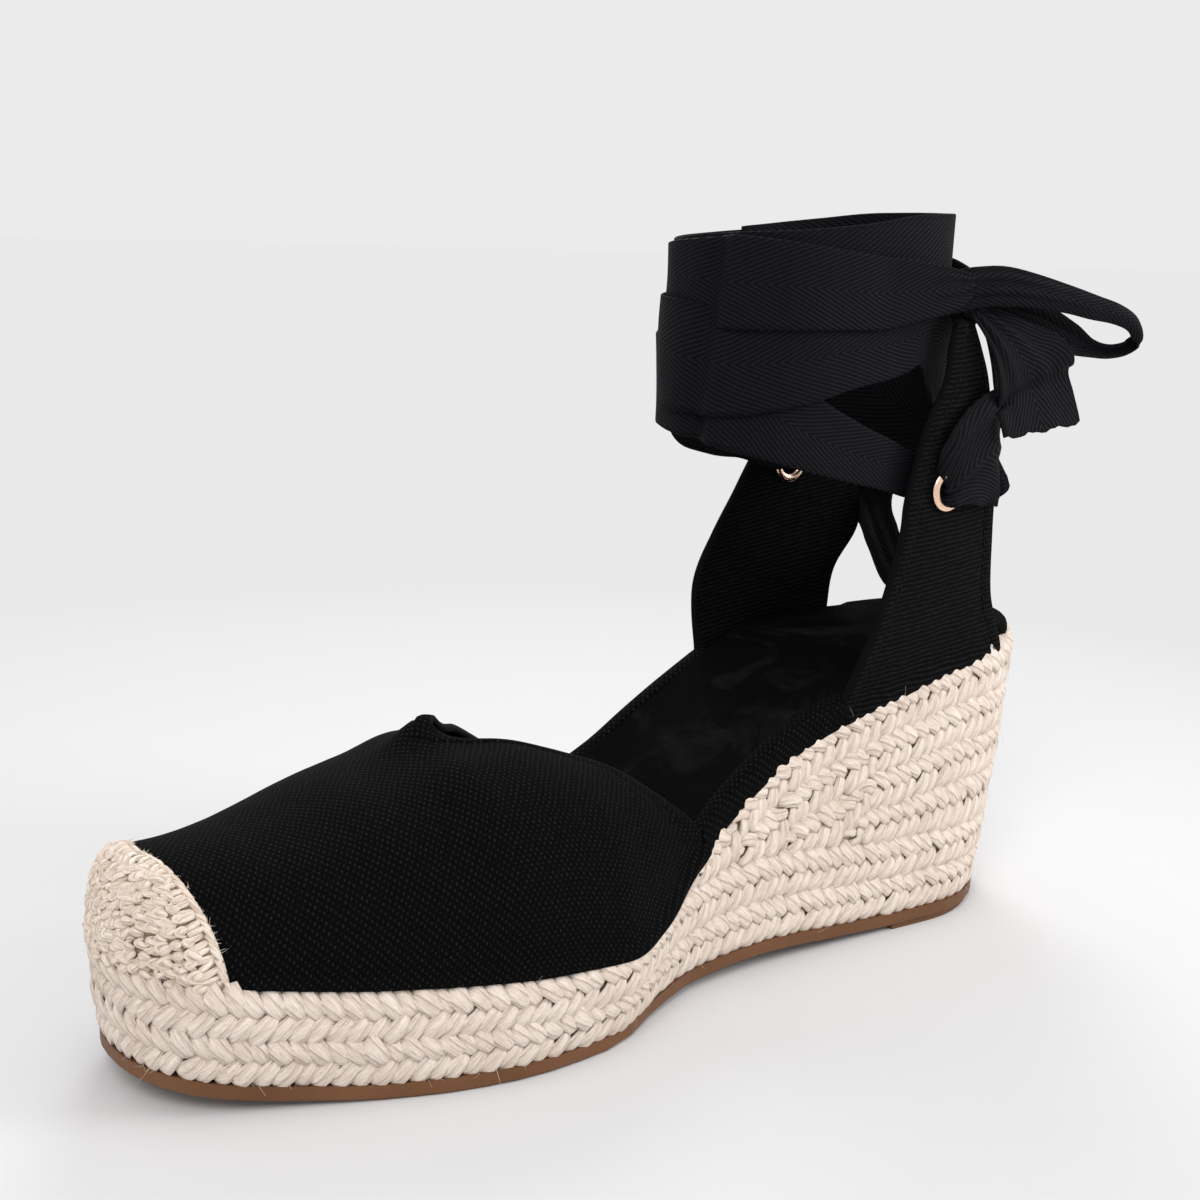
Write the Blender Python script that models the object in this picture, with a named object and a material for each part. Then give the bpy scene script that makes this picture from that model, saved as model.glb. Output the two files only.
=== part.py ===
"""Espadrille wedge sandal with an ankle tie: a right shoe, about EU 38.

Tables and driving sizes are in millimetres. In the shoe's own frame s runs forward from the
heel of the outsole, x is positive on the medial side and z is up from the floor. World +Y is
towards the heel, so y = -s, and an empty shifts the shoe so that the middle of its box is at
the origin in x and y.
"""
import math

import bmesh
import bpy
import numpy as np
from mathutils import Vector

MM = 0.001
GAP = 0.3            # clearance between pieces that touch

# ---------------------------------------------------------------- driving sizes
LENGTH = 245.0       # outsole, heel to toe
HEEL_RAKE = 9.5      # the wedge's top reaches this far behind its foot
TOE_REACH = 1.0      # and this far ahead of it at the toe
STATIONS = 46        # intervals along the sole
SOLE_THICK = 3.6     # rubber under forefoot and arch
PAD_BREAST = 46.0    # front edge of the heel pad
UPPER_INSET = 0.8    # upper's outer face inside the wedge's top edge
CANVAS = 1.6         # vamp wall
STRAP = 2.0          # strap wall
CAP = 2.0            # crocheted toe cap
FOOTBED = 5.0        # insole
TAPE = 1.2           # one slack layer of the cotton tape
WRAP = 2.4           # the turns round the ankle together
EYELET_OUT = 5.4     # flange radius
EYELET_BORE = 3.0
EYELET_FLANGE = 0.7

# Half widths of the sole, before the heel and toe are rounded.
SOLE_PLAN = [  # s, medial, lateral
    (0, 27.0, 27.0), (30, 28.5, 28.5), (55, 27.5, 30.0), (85, 27.0, 31.0), (110, 28.0, 34.0),
    (128, 34.0, 38.0), (146, 42.5, 42.5), (165, 44.0, 44.0), (182, 41.5, 43.5),
    (200, 35.5, 39.5), (222, 28.0, 29.5), (245, 25.5, 24.0),
]
TOP_PLAN = [  # s, medial, lateral: the wedge's top edge
    (-10, 23.0, 24.0), (15, 24.0, 26.5), (50, 25.5, 34.0), (80, 23.5, 32.5), (100, 25.0, 33.0),
    (116, 30.5, 36.0), (130, 38.5, 39.5), (145, 44.5, 42.5), (160, 45.0, 44.0),
    (180, 41.5, 43.5), (200, 35.5, 39.0), (222, 28.0, 29.0), (246, 25.5, 24.0),
]
BOTTOM_RISE = [  # s, height of the outsole's underside without the heel pad
    (0, 1.3), (46, 1.3), (62, 1.9), (90, 3.2), (115, 1.8), (135, 0.4), (150, 0.0), (195, 0.0),
    (215, 1.4), (230, 3.4), (245, 6.4),
]
TOP_RISE = [  # s, medial, lateral: height of the wedge's top edge
    (-10, 71.5, 71.5), (20, 69.3, 69.5), (35, 66.9, 68.8), (50, 63.6, 67.0), (66, 59.2, 61.5),
    (80, 53.6, 54.6), (92, 47.0, 47.4), (105, 38.6, 38.6), (118, 30.5, 30.5), (130, 25.0, 25.0),
    (142, 22.4, 22.4), (158, 22.0, 22.0), (190, 23.6, 23.6), (220, 26.2, 26.2), (246, 31.2, 31.2),
]
INSTEP = [  # s, height of the vamp's ridge over the wedge's top edge
    (104, 8.0), (111, 14.0), (118, 20.5), (130, 31.5), (144, 38.5), (158, 42.0), (168, 42.2),
    (181, 37.4), (194, 33.2), (206, 29.2), (218, 25.2), (232, 22.2), (246, 21.2),
]
TOPLINE = [  # degrees round the section from the medial edge, s of the vamp's rear edge
    (0, 110), (25, 112), (50, 118), (68, 127), (78, 138), (83, 149), (86.5, 158), (90, 166),
    (94.5, 168), (99, 165), (106, 159), (116, 152), (128, 142), (146, 126), (180, 110),
]
CAP_EDGE = [  # degrees round the section, s of the toe cap's rear edge
    (0, 228), (30, 230.5), (60, 234), (90, 237.5), (120, 236), (150, 232), (180, 228),
]
# A strap's levels: s, x and z of its front edge, then of its back edge (outer face).
STRAP_MEDIAL = [
    (57.5, 26.0, 81.0, 13.5, 22.0, 86.0), (50.5, 25.8, 103.0, 16.0, 23.4, 103.0),
    (49.0, 25.6, 114.0, 17.0, 23.8, 114.0), (44.5, 25.8, 130.0, 19.0, 23.4, 129.0),
    (38.2, 25.2, 142.8, 21.4, 22.8, 141.6), (36.8, 24.6, 149.6, 23.4, 22.2, 149.2),
    (35.2, 24.2, 155.6, 26.6, 22.0, 155.8),
]
STRAP_LATERAL = [
    (69.2, -33.6, 83.0, 22.8, -29.8, 84.0), (63.6, -32.8, 97.0, 14.2, -30.4, 96.0),
    (56.2, -32.0, 110.0, 15.4, -30.4, 110.0), (48.0, -32.0, 124.0, 21.0, -30.8, 124.0),
    (42.5, -31.8, 138.0, 26.0, -31.0, 139.0), (39.0, -31.6, 150.0, 30.5, -31.4, 151.0),
]
STRAP_FOOT_MEDIAL = (65.0, 9.0)     # s of the strap's front and back edge at the sole
STRAP_FOOT_LATERAL = (68.5, 26.0)
EYELET_MEDIAL = (37.2, 114.9)       # s and z
EYELET_LATERAL = (39.6, 114.6)

# The ankle ring in plan: centre x and s, half width, half length and squareness.
RING = (-2.6, 59.5, 26.5, 41.5, 2.2)
RING_EDGES = [  # degrees from medial, backwards positive; lower and upper edge
    (-180, 137.0, 178.0), (-172, 139.4, 177.6), (-150, 139.0, 176.0), (-118, 131.5, 175.0),
    (-92, 129.8, 176.0), (-80, 131.5, 176.6), (-74, 135.0, 177.0), (-55, 138.0, 177.4),
    (-30, 140.8, 178.0), (0, 144.5, 180.6), (20, 147.0, 181.8), (32, 143.0, 182.2),
    (46, 131.0, 182.4), (60, 126.0, 182.4), (76, 119.6, 182.4), (92, 117.0, 182.4),
    (108, 119.0, 182.2), (120, 122.0, 182.0), (134, 126.2, 181.4), (150, 130.0, 180.5),
    (168, 134.0, 179.0), (180, 137.0, 178.0),
]
LEAD_MEDIAL = [  # s, depth inside the ring, lower edge, upper edge: eyelet to front
    (45.5, 1.0, 110.5, 118.5), (51.0, 1.0, 113.0, 123.0), (60.0, 1.2, 116.3, 130.0),
    (71.0, 2.0, 119.4, 136.5), (81.5, 2.8, 123.2, 140.5), (90.5, 2.8, 125.9, 139.5),
    (96.4, 2.8, 128.0, 137.5),
]
LEAD_LATERAL = [
    (49.0, 1.0, 113.0, 120.5), (55.0, 1.0, 115.0, 127.0), (63.0, 1.4, 117.0, 135.0),
    (72.0, 2.2, 119.6, 138.0), (82.0, 2.8, 122.4, 138.0), (91.0, 2.8, 124.6, 136.0),
]
# The tape behind the heel: x, s, middle height, half width, and how far its top leans out.
HEEL_TAPE = [
    (27.8, 31.5, 119.6, 10.0, 0.0), (27.4, 26.0, 122.0, 13.5, 0.0), (26.6, 19.5, 123.0, 14.0, 0.3),
    (23.8, 14.6, 119.4, 13.5, 0.0), (18.4, 11.8, 109.5, 12.5, 0.0), (11.0, 9.8, 98.0, 11.5, 0.0),
    (1.0, 7.8, 90.5, 11.0, 0.0), (-8.0, 7.6, 86.0, 9.0, 0.0), (-16.5, 8.8, 86.0, 7.6, 0.0),
    (-23.5, 8.6, 94.0, 8.0, 0.0), (-29.4, 8.6, 103.0, 9.5, 0.0), (-33.4, 13.5, 110.0, 10.5, 0.0),
    (-34.6, 22.0, 112.5, 9.0, 0.0), (-34.9, 32.4, 114.6, 5.0, 0.0),
]
KNOT = (22.8, 28.0, 163.0)          # centre x, s, z
KNOT_SIZE = (4.6, 4.8, 5.8)         # half sizes


# ---------------------------------------------------------------- curves
def smooth(table, column=1):
    """Monotone cubic through a table's first column and another."""
    rows = np.array(table, dtype=float)
    x, y = rows[:, 0], rows[:, column]
    h = np.diff(x)
    slope = np.diff(y) / h
    d = np.zeros(len(x))
    for i in range(1, len(x) - 1):
        if slope[i - 1] * slope[i] > 0:
            w1, w2 = 2 * h[i] + h[i - 1], h[i] + 2 * h[i - 1]
            d[i] = (w1 + w2) / (w1 / slope[i - 1] + w2 / slope[i])
    d[0], d[-1] = slope[0], slope[-1]

    def value(at):
        at = min(max(at, x[0]), x[-1])
        i = min(int(np.searchsorted(x, at, side="right")) - 1, len(h) - 1)
        t = (at - x[i]) / h[i]
        a, b = (1 + 2 * t) * (1 - t) ** 2, t * t * (3 - 2 * t)
        c, e = t * (1 - t) ** 2, t * t * (t - 1)
        return a * y[i] + b * y[i + 1] + h[i] * (c * d[i] + e * d[i + 1])

    return value


def through(rows, count):
    """Catmull-Rom samples through the rows of a table, ends included."""
    p = np.array(rows, dtype=float)
    p = np.vstack([2 * p[0] - p[1], p, 2 * p[-1] - p[-2]])
    out = []
    for k in range(count + 1):
        u = k / count * (len(p) - 3)
        i = min(int(u), len(p) - 4)
        t = u - i
        a, b, c, d = p[i:i + 4]
        out.append(0.5 * (2 * b + (c - a) * t + (2 * a - 5 * b + 4 * c - d) * t * t
                          + (3 * b - a - 3 * c + d) * t ** 3))
    return out


def rounded(distance, radius, power):
    """How far an end is rounded in at this distance from its tip: 0 at the tip, 1 inside."""
    t = 1 - min(max(distance / radius, 0.0), 1.0)
    return (1 - t ** power) ** (1 / power)


sole_half = (smooth(SOLE_PLAN, 1), smooth(SOLE_PLAN, 2))
top_half = (smooth(TOP_PLAN, 1), smooth(TOP_PLAN, 2))
top_height = (smooth(TOP_RISE, 1), smooth(TOP_RISE, 2))
bottom_height = smooth(BOTTOM_RISE)
instep = smooth(INSTEP)
topline = smooth(TOPLINE)
cap_edge = smooth(CAP_EDGE)
ring_low, ring_high = smooth(RING_EDGES, 1), smooth(RING_EDGES, 2)


def sole_x(s, side, inset=0.0):
    """Outline of the outsole; side 0 is medial, 1 lateral."""
    half = sole_half[side](s) - inset
    ends = rounded(s - inset, 31, 2.0) * rounded(LENGTH - inset - s, 34, 2.4)
    return half * ends * (1, -1)[side]


def top_x(s, side, inset=0.0):
    """Outline of the wedge's top edge, or a line inside it."""
    half = top_half[side](s) - inset
    back, front = -HEEL_RAKE + inset, LENGTH + TOE_REACH - inset
    ends = rounded(s - back, 28, 2.1) * rounded(front - s, 34, 2.4)
    return half * ends * (1, -1)[side]


def spaced(first, last, count, power=1.0):
    """Stations crowded towards both ends."""
    out = []
    for k in range(count + 1):
        t = (1 - math.cos(math.pi * k / count)) / 2
        out.append(first + (last - first) * t ** power)
    return out


# ---------------------------------------------------------------- mesh helpers
def material(name, color, roughness, metallic=0.0):
    mat = bpy.data.materials.new(name)
    mat.use_nodes = True
    shader = mat.node_tree.nodes["Principled BSDF"]
    shader.inputs["Base Color"].default_value = (*color, 1.0)
    shader.inputs["Roughness"].default_value = roughness
    shader.inputs["Metallic"].default_value = metallic
    mat.diffuse_color = (*color, 1.0)
    return mat


def shoe(s, x, z):
    """A point of the shoe's frame, in metres."""
    return Vector((x * MM, -s * MM, z * MM))


def add_object(name, verts, faces, mat, smooth_angle=35):
    """One closed body with its faces pointing out."""
    mesh = bpy.data.meshes.new(name)
    mesh.from_pydata([tuple(v) for v in verts], [], faces)
    form = bmesh.new()
    form.from_mesh(mesh)
    bmesh.ops.remove_doubles(form, verts=form.verts, dist=0.000002)
    form.to_mesh(mesh)
    form.free()
    volume = 0.0
    mesh.calc_loop_triangles()
    for tri in mesh.loop_triangles:
        a, b, c = (mesh.vertices[i].co for i in tri.vertices)
        volume += a.dot(b.cross(c))
    if volume < 0:
        mesh.flip_normals()
    mesh.materials.append(mat)
    mesh.shade_smooth()
    mesh.set_sharp_from_angle(angle=math.radians(smooth_angle))
    obj = bpy.data.objects.new(name, mesh)
    bpy.context.scene.collection.objects.link(obj)
    obj.parent = root
    return obj


def ladder(loop_a, loop_b):
    """Quads between two closed loops of the same length."""
    n = len(loop_a)
    return [(loop_a[i], loop_a[(i + 1) % n], loop_b[(i + 1) % n], loop_b[i]) for i in range(n)]


def lid(loop, count):
    """Closes a sole-like loop: heel tip, medial stations, toe tip, lateral stations back."""
    n = len(loop)
    faces = [(loop[0], loop[1], loop[n - 1])]
    for k in range(1, count - 1):
        faces.append((loop[k], loop[k + 1], loop[n - k - 1], loop[n - k]))
    faces.append((loop[count - 1], loop[count], loop[count + 1]))
    return faces


def sole_solid(name, loops, mat, angle=35):
    """A solid from sole-like loops, stacked from the underside to the top."""
    count = len(loops[0]) // 2
    verts, index = [], []
    for loop in loops:
        index.append(list(range(len(verts), len(verts) + len(loop))))
        verts.extend(loop)
    faces = lid(index[0][:], count)
    for low, high in zip(index, index[1:]):
        faces += [f[::-1] for f in ladder(low, high)]
    faces += [f[::-1] for f in lid(index[-1], count)]
    return add_object(name, verts, faces, mat, angle)


def sheet_solid(name, outer, inner, mat, angle=35):
    """A wall between two grids of points, closed round their edges."""
    rows, cols = len(outer), len(outer[0])
    verts = [p for row in outer for p in row] + [p for row in inner for p in row]
    back = rows * cols

    def at(r, c, side=0):
        return side * back + r * cols + c

    faces = []
    for r in range(rows - 1):
        for c in range(cols - 1):
            faces.append((at(r, c), at(r + 1, c), at(r + 1, c + 1), at(r, c + 1)))
            faces.append((at(r, c, 1), at(r, c + 1, 1), at(r + 1, c + 1, 1), at(r + 1, c, 1)))
    edge = [(0, c) for c in range(cols)] + [(r, cols - 1) for r in range(1, rows)]
    edge += [(rows - 1, c) for c in range(cols - 2, -1, -1)] + [(r, 0) for r in range(rows - 2, 0, -1)]
    for (r1, c1), (r2, c2) in zip(edge, edge[1:] + edge[:1]):
        faces.append((at(r1, c1), at(r2, c2), at(r2, c2, 1), at(r1, c1, 1)))
    return add_object(name, verts, faces, mat, angle)


# ---------------------------------------------------------------- sole
def sole_loop(half_x, height, first, last, inset=0.0):
    """Heel tip, medial side forwards, toe tip, lateral side back."""
    stations = spaced(first + inset, last - inset, STATIONS)
    medial = [shoe(s, half_x(s, 0, inset), height(s, 0)) for s in stations]
    lateral = [shoe(s, half_x(s, 1, inset), height(s, 1)) for s in stations[1:-1]]
    return medial + lateral[::-1]


def make_outsole(mat):
    def under(s, side):
        return bottom_height(s)

    def over(s, side):
        return bottom_height(s) + SOLE_THICK

    loops = [sole_loop(sole_x, under, 0, LENGTH, 0.7),
             sole_loop(sole_x, lambda s, side: under(s, side) + 0.7, 0, LENGTH),
             sole_loop(sole_x, over, 0, LENGTH)]
    sole = sole_solid("outsole", loops, mat)
    # heel pad: a shallow D-shaped block under the heel, one body with the sole
    stations = spaced(0.9, PAD_BREAST, 16)
    stations = [s for s in stations if s < PAD_BREAST - 0.4] + [PAD_BREAST]
    low = [shoe(s, sole_x(s, 0, 0.9), 0.0) for s in stations]
    low += [shoe(s, sole_x(s, 1, 0.9), 0.0) for s in stations[:0:-1]]
    high = [v + Vector((0, 0, 2.6 * MM)) for v in low]
    n = len(low)
    faces = [tuple(range(n)), tuple(range(2 * n - 1, n - 1, -1))]
    faces += [(i, n + i, n + (i + 1) % n, (i + 1) % n) for i in range(n)]
    pad = add_object("heel_pad_guide", low + high, faces, mat)
    pad.hide_render = True
    pad.display_type = "WIRE"
    union = sole.modifiers.new("Heel pad", "BOOLEAN")
    union.operation = "UNION"
    union.solver = "EXACT"
    union.object = pad
    return sole


def wedge_loop(share):
    """The wedge's side at a share of its height, from the outsole to the top edge."""
    low = spaced(0.6, LENGTH - 0.6, STATIONS)
    high = spaced(-HEEL_RAKE, LENGTH + TOE_REACH, STATIONS)

    def point(k, side):
        a = (low[k], sole_x(low[k], side, 0.6), bottom_height(low[k]) + SOLE_THICK + GAP)
        b = (high[k], top_x(high[k], side), top_height[side](high[k]))
        swell = 4 * share * (1 - share) * 0.8
        s, x, z = (u + (v - u) * share for u, v in zip(a, b))
        return shoe(s, x + swell * (1, -1)[side] * (0 < k < STATIONS), z)

    medial = [point(k, 0) for k in range(STATIONS + 1)]
    lateral = [point(k, 1) for k in range(1, STATIONS)]
    return medial + lateral[::-1]


def make_wedge(mat):
    return sole_solid("wedge", [wedge_loop(t) for t in (0.0, 0.25, 0.5, 0.75, 1.0)], mat, 40)


def footbed_inset(s):
    """The footbed's edge: inside the upper's walls, and out to the rim where it is bare."""
    wall = UPPER_INSET + STRAP + GAP + 0.1
    bare = 0.9
    free = min(max((s - 77) / 4, 0), 1) * min(max((103 - s) / 4, 0), 1)
    free = max(free, min(max((4 - s) / 5, 0), 1))
    free = free * free * (3 - 2 * free)
    return wall + (bare - wall) * free


def make_insole(mat):
    first, last = -HEEL_RAKE + 0.9, LENGTH + TOE_REACH - 3.4

    def loop(extra, rise, dish=0.0):
        stations = spaced(first + extra, last - extra, STATIONS)
        sides = []
        for side in (0, 1):
            row = []
            for s in stations:
                x = top_x(s, side, footbed_inset(s) + extra)
                if not first + extra < s < last - extra:
                    x = 0.0
                row.append(shoe(s, x, top_height[side](s) + rise - dish))
            sides.append(row)
        return sides[0] + sides[1][-2:0:-1]

    loops = [loop(0.0, GAP + 0.25), loop(0.0, FOOTBED - 1.6), loop(0.5, FOOTBED - 0.4),
             loop(1.6, FOOTBED), loop(9.0, FOOTBED, 0.9)]
    return sole_solid("insole", loops, mat, 50)


# ---------------------------------------------------------------- upper
def vamp_point(s, angle, inset):
    """Outer face of the vamp, or a face inside it (inset) or outside it (negative inset)."""
    inset = inset + UPPER_INSET
    side = 0 if angle <= 90 else 1
    c, n = math.cos(math.radians(angle)), math.sin(math.radians(angle))
    half = abs(top_x(s, side, inset))
    front = LENGTH + TOE_REACH - inset
    ridge = instep(s) - inset + UPPER_INSET
    ridge *= rounded(front - s, 11, 2.5)
    x = half * math.copysign(abs(c) ** 0.92, c)
    lean = 3.5 * math.exp(-((s - 150) / 34) ** 2) * rounded(front - s, 11, 2.5)
    x += lean * n ** 2
    z = top_height[side](s) + GAP + ridge * abs(n) ** 0.92
    near = math.exp(-((angle - 83) / 7) ** 2 - ((s - 168) / 10) ** 2)
    far = math.exp(-((angle - 98) / 6) ** 2 - ((s - 168) / 7) ** 2)
    return shoe(s, x, z - 0.8 * near + 3.8 * far)


def vamp_angles(count):
    """Angles round the section, crowded at the notch."""
    out = []
    for k in range(count + 1):
        t = 2 * k / count - 1
        out.append(90 + 90 * math.copysign(abs(t) ** 1.45, t))
    return out


def toe_shell(name, edge, inset, wall, angles, rows, mat):
    """A wall over the toe, from a rear edge to the toe's tip."""
    grids = []
    for depth in (inset, inset + wall):
        tip = LENGTH + TOE_REACH - UPPER_INSET - depth
        grid = []
        for r in range(rows + 1):
            share = math.sin(math.pi / 2 * r / rows)
            grid.append([vamp_point(edge(a) + (tip - edge(a)) * share, a, depth) for a in angles])
        grids.append(grid)
    return sheet_solid(name, grids[0], grids[1], mat, 40)


def strap_grid(levels, foot, side, inward, rows=15, cols=8):
    """Points of a strap's face, moved inwards by its wall."""
    sign = (1, -1)[side]
    out = []
    columns = []
    for c in range(cols + 1):
        v = c / cols
        s = foot[0] + (foot[1] - foot[0]) * v
        path = [(s, top_x(s, side, UPPER_INSET), top_height[side](s) + GAP)]
        for sf, xf, zf, sb, xb, zb in levels:
            bow = 1.2 * 4 * v * (1 - v) * min(1.0, (zf - 60) / 20)
            level = (sf + (sb - sf) * v, xf + (xb - xf) * v + sign * bow, zf + (zb - zf) * v)
            path.append(level)
        columns.append(through(path, rows))
    for r in range(rows + 1):
        out.append([np.array(columns[c][r]) for c in range(cols + 1)])
    if inward:
        moved = []
        for r in range(rows + 1):
            row = []
            for c in range(cols + 1):
                up = out[min(r + 1, rows)][c] - out[max(r - 1, 0)][c]
                across = out[r][min(c + 1, cols)] - out[r][max(c - 1, 0)]
                normal = np.cross(up, across)
                normal = normal / np.linalg.norm(normal)
                if normal[1] * sign < 0:
                    normal = -normal
                if r == 0:
                    normal[2] = 0
                    normal = normal / np.linalg.norm(normal)
                row.append(out[r][c] - inward * normal)
            moved.append(row)
        out = moved
    return [[shoe(*p) for p in row] for row in out]


def strap_frame(levels, foot, side, eyelet):
    """Middle of the wall at the eyelet, and the outward normal there."""
    outer = strap_grid(levels, foot, side, 0.0, 60, 40)
    inner = strap_grid(levels, foot, side, STRAP, 60, 40)
    target = shoe(eyelet[0], 0, eyelet[1])
    best = None
    for row_out, row_in in zip(outer, inner):
        for p, q in zip(row_out, row_in):
            middle = (p + q) / 2
            d = math.hypot(middle.y - target.y, middle.z - target.z)
            if best is None or d < best[0]:
                best = (d, middle, (p - q).normalized())
    return best[1], best[2]


def turned(name, profile, centre, axis, mat, segments=28):
    """A ring turned from a closed profile of (radius, along) round an axis."""
    frame = axis.to_track_quat("Z", "Y").to_matrix()
    verts, faces = [], []
    n = len(profile)
    for k in range(segments):
        a = 2 * math.pi * k / segments
        for r, h in profile:
            local = Vector((r * math.cos(a) * MM, r * math.sin(a) * MM, h * MM))
            verts.append(centre + frame @ local)
    for k in range(segments):
        m = (k + 1) % segments
        for i in range(n):
            j = (i + 1) % n
            faces.append((k * n + i, m * n + i, m * n + j, k * n + j))
    return add_object(name, verts, faces, mat, 50)


def punch(name, centre, axis, radius, length, mat):
    """A cylinder that cuts an eyelet's hole."""
    frame = axis.to_track_quat("Z", "Y").to_matrix()
    segments = 28
    verts = []
    for end in (-length / 2, length / 2):
        for k in range(segments):
            a = 2 * math.pi * k / segments
            local = Vector((radius * math.cos(a) * MM, radius * math.sin(a) * MM, end * MM))
            verts.append(centre + frame @ local)
    faces = [tuple(range(segments))[::-1], tuple(range(segments, 2 * segments))]
    faces += [(k, (k + 1) % segments, segments + (k + 1) % segments, segments + k)
              for k in range(segments)]
    obj = add_object(name, verts, faces, mat)
    obj.hide_render = True
    obj.display_type = "WIRE"
    return obj


def make_strap(name, levels, foot, side, eyelet, canvas, metal):
    strap = sheet_solid("strap_" + name, strap_grid(levels, foot, side, 0.0),
                        strap_grid(levels, foot, side, STRAP), canvas, 40)
    centre, axis = strap_frame(levels, foot, side, eyelet)
    cut = strap.modifiers.new("Eyelet hole", "BOOLEAN")
    cut.operation = "DIFFERENCE"
    cut.solver = "EXACT"
    cut.object = punch("punch_" + name, centre, axis, EYELET_BORE + 0.5 + GAP, 12, canvas)
    inside = STRAP / 2 + GAP + 0.1
    outside = inside + EYELET_FLANGE
    barrel = EYELET_BORE + 0.5
    profile = [(EYELET_BORE + 0.3, -outside), (EYELET_OUT - 0.4, -outside), (EYELET_OUT, -inside - 0.3),
               (EYELET_OUT, -inside), (barrel, -inside), (barrel, inside), (EYELET_OUT, inside),
               (EYELET_OUT, inside + 0.3), (EYELET_OUT - 0.4, outside), (EYELET_BORE + 0.3, outside),
               (EYELET_BORE, outside - 0.3), (EYELET_BORE, -outside + 0.3)]
    turned("eyelet_" + name, profile, centre, axis, metal)
    return strap


# ---------------------------------------------------------------- tape
def ring_point(degrees, inward=0.0):
    """Plan point (s, x) of the ankle ring, medial at 0 and the heel side at 90 degrees."""
    cx, cs, half_x, half_s, power = RING
    a = math.radians(degrees)
    c, n = math.cos(a), math.sin(a)
    x = cx + (half_x - inward) * math.copysign(abs(c) ** (2 / power), c)
    s = cs - (half_s - inward) * math.copysign(abs(n) ** (2 / power), n)
    return s, x


def make_wrap(mat):
    """The turns round the ankle: a ring with a wavy upper and lower edge."""
    count = 72
    loops = []
    for inward, high in ((0.0, 0), (0.0, 1), (WRAP, 1), (WRAP, 0)):
        loop = []
        for k in range(count):
            a = -180 + 360 * k / count
            s, x = ring_point(a, inward)
            loop.append(shoe(s, x, (ring_low, ring_high)[high](a)))
        loops.append(loop)
    verts = [v for loop in loops for v in loop]
    faces = []
    for i in range(4):
        a = [i * count + k for k in range(count)]
        b = [(i + 1) % 4 * count + k for k in range(count)]
        faces += ladder(a, b)
    return add_object("ankle_wrap", verts, faces, mat, 40)


def make_band(name, rows, count, mat, wall=TAPE):
    """A flat band on a path: rows of (x, s, middle height, half width, lean)."""
    line = through(rows, count)
    outer, inner = [], []
    for k, row in enumerate(line):
        ahead, behind = line[min(k + 1, count)], line[max(k - 1, 0)]
        along = shoe(ahead[1], ahead[0], ahead[2]) - shoe(behind[1], behind[0], behind[2])
        along.z = 0
        normal = along.normalized().cross(Vector((0, 0, 1)))
        middle = shoe(row[1], row[0], row[2])
        for face, sign in ((outer, 0.5), (inner, -0.5)):
            shift = normal * (sign * wall * MM)
            line_out = []
            for t in (-1, 0, 1):
                up = Vector((0, 0, row[3] * t * MM))
                tilt = normal * (row[4] * t * MM)
                line_out.append(middle + shift + up + tilt)
            face.append(line_out)
    return sheet_solid(name, outer, inner, mat, 40)


def lead_rows(table, sign):
    """Band rows from a lead's table; it runs just inside the ring."""
    cx, cs, half_x, half_s, power = RING
    out = []
    for s, depth, low, high in table:
        along = abs(s - cs) / (half_s - depth)
        reach = (half_x - depth) * (1 - along ** power) ** (1 / power) - TAPE / 2
        out.append((cx + sign * reach, s, (low + high) / 2, (high - low) / 2, 0.0))
    return out


def make_knot(mat):
    """The knot: a squat bun."""
    segments, rings = 16, 8
    verts = [shoe(KNOT[1], KNOT[0], KNOT[2] - KNOT_SIZE[2])]
    for r in range(1, rings):
        b = math.pi * r / rings
        for k in range(segments):
            a = 2 * math.pi * k / segments
            verts.append(shoe(KNOT[1] + KNOT_SIZE[1] * math.sin(b) * math.sin(a),
                              KNOT[0] + KNOT_SIZE[0] * math.sin(b) * math.cos(a),
                              KNOT[2] - KNOT_SIZE[2] * math.cos(b)))
    verts.append(shoe(KNOT[1], KNOT[0], KNOT[2] + KNOT_SIZE[2]))
    faces = [(0, 1 + (k + 1) % segments, 1 + k) for k in range(segments)]
    for r in range(rings - 2):
        a, b = 1 + r * segments, 1 + (r + 1) * segments
        faces += [(a + k, a + (k + 1) % segments, b + (k + 1) % segments, b + k)
                  for k in range(segments)]
    last = 1 + (rings - 2) * segments
    faces += [(last + k, last + (k + 1) % segments, len(verts) - 1) for k in range(segments)]
    return add_object("knot", verts, faces, mat, 60)


# The loops: x, s, middle height, half width, lean.
BOW_LOOP = [
    (27.8, 23.0, 165.5, 4.7, 0.0), (29.8, 14.5, 164.4, 4.0, 0.0), (31.6, 4.5, 162.5, 3.3, 0.0),
    (32.8, -4.0, 160.5, 3.0, 0.0), (33.5, -12.0, 158.8, 2.6, 0.0), (33.0, -19.5, 156.0, 2.2, 0.0),
    (31.4, -23.4, 152.0, 2.0, 0.0), (29.2, -21.4, 149.4, 2.0, 0.0), (27.6, -12.0, 149.4, 2.4, 0.0),
    (26.8, -4.0, 152.0, 4.0, 0.0), (26.2, 4.0, 153.8, 5.4, 0.0), (25.4, 12.0, 156.4, 5.2, 0.0),
    (24.4, 20.6, 159.6, 4.2, 0.0),
]
BACK_LOOP = [
    (19.4, 21.0, 162.2, 3.6, 0.0), (14.0, 12.5, 162.0, 5.0, 0.0), (2.0, 5.8, 160.5, 6.0, 0.0),
    (-11.0, 4.6, 157.0, 6.0, 0.0), (-15.6, 7.8, 155.0, 5.6, 0.0), (-11.0, 11.0, 156.0, 5.6, 0.0),
    (2.0, 11.2, 158.6, 5.6, 0.0), (10.8, 15.0, 160.4, 4.6, 0.0), (16.8, 20.6, 161.0, 3.6, 0.0),
]


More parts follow.
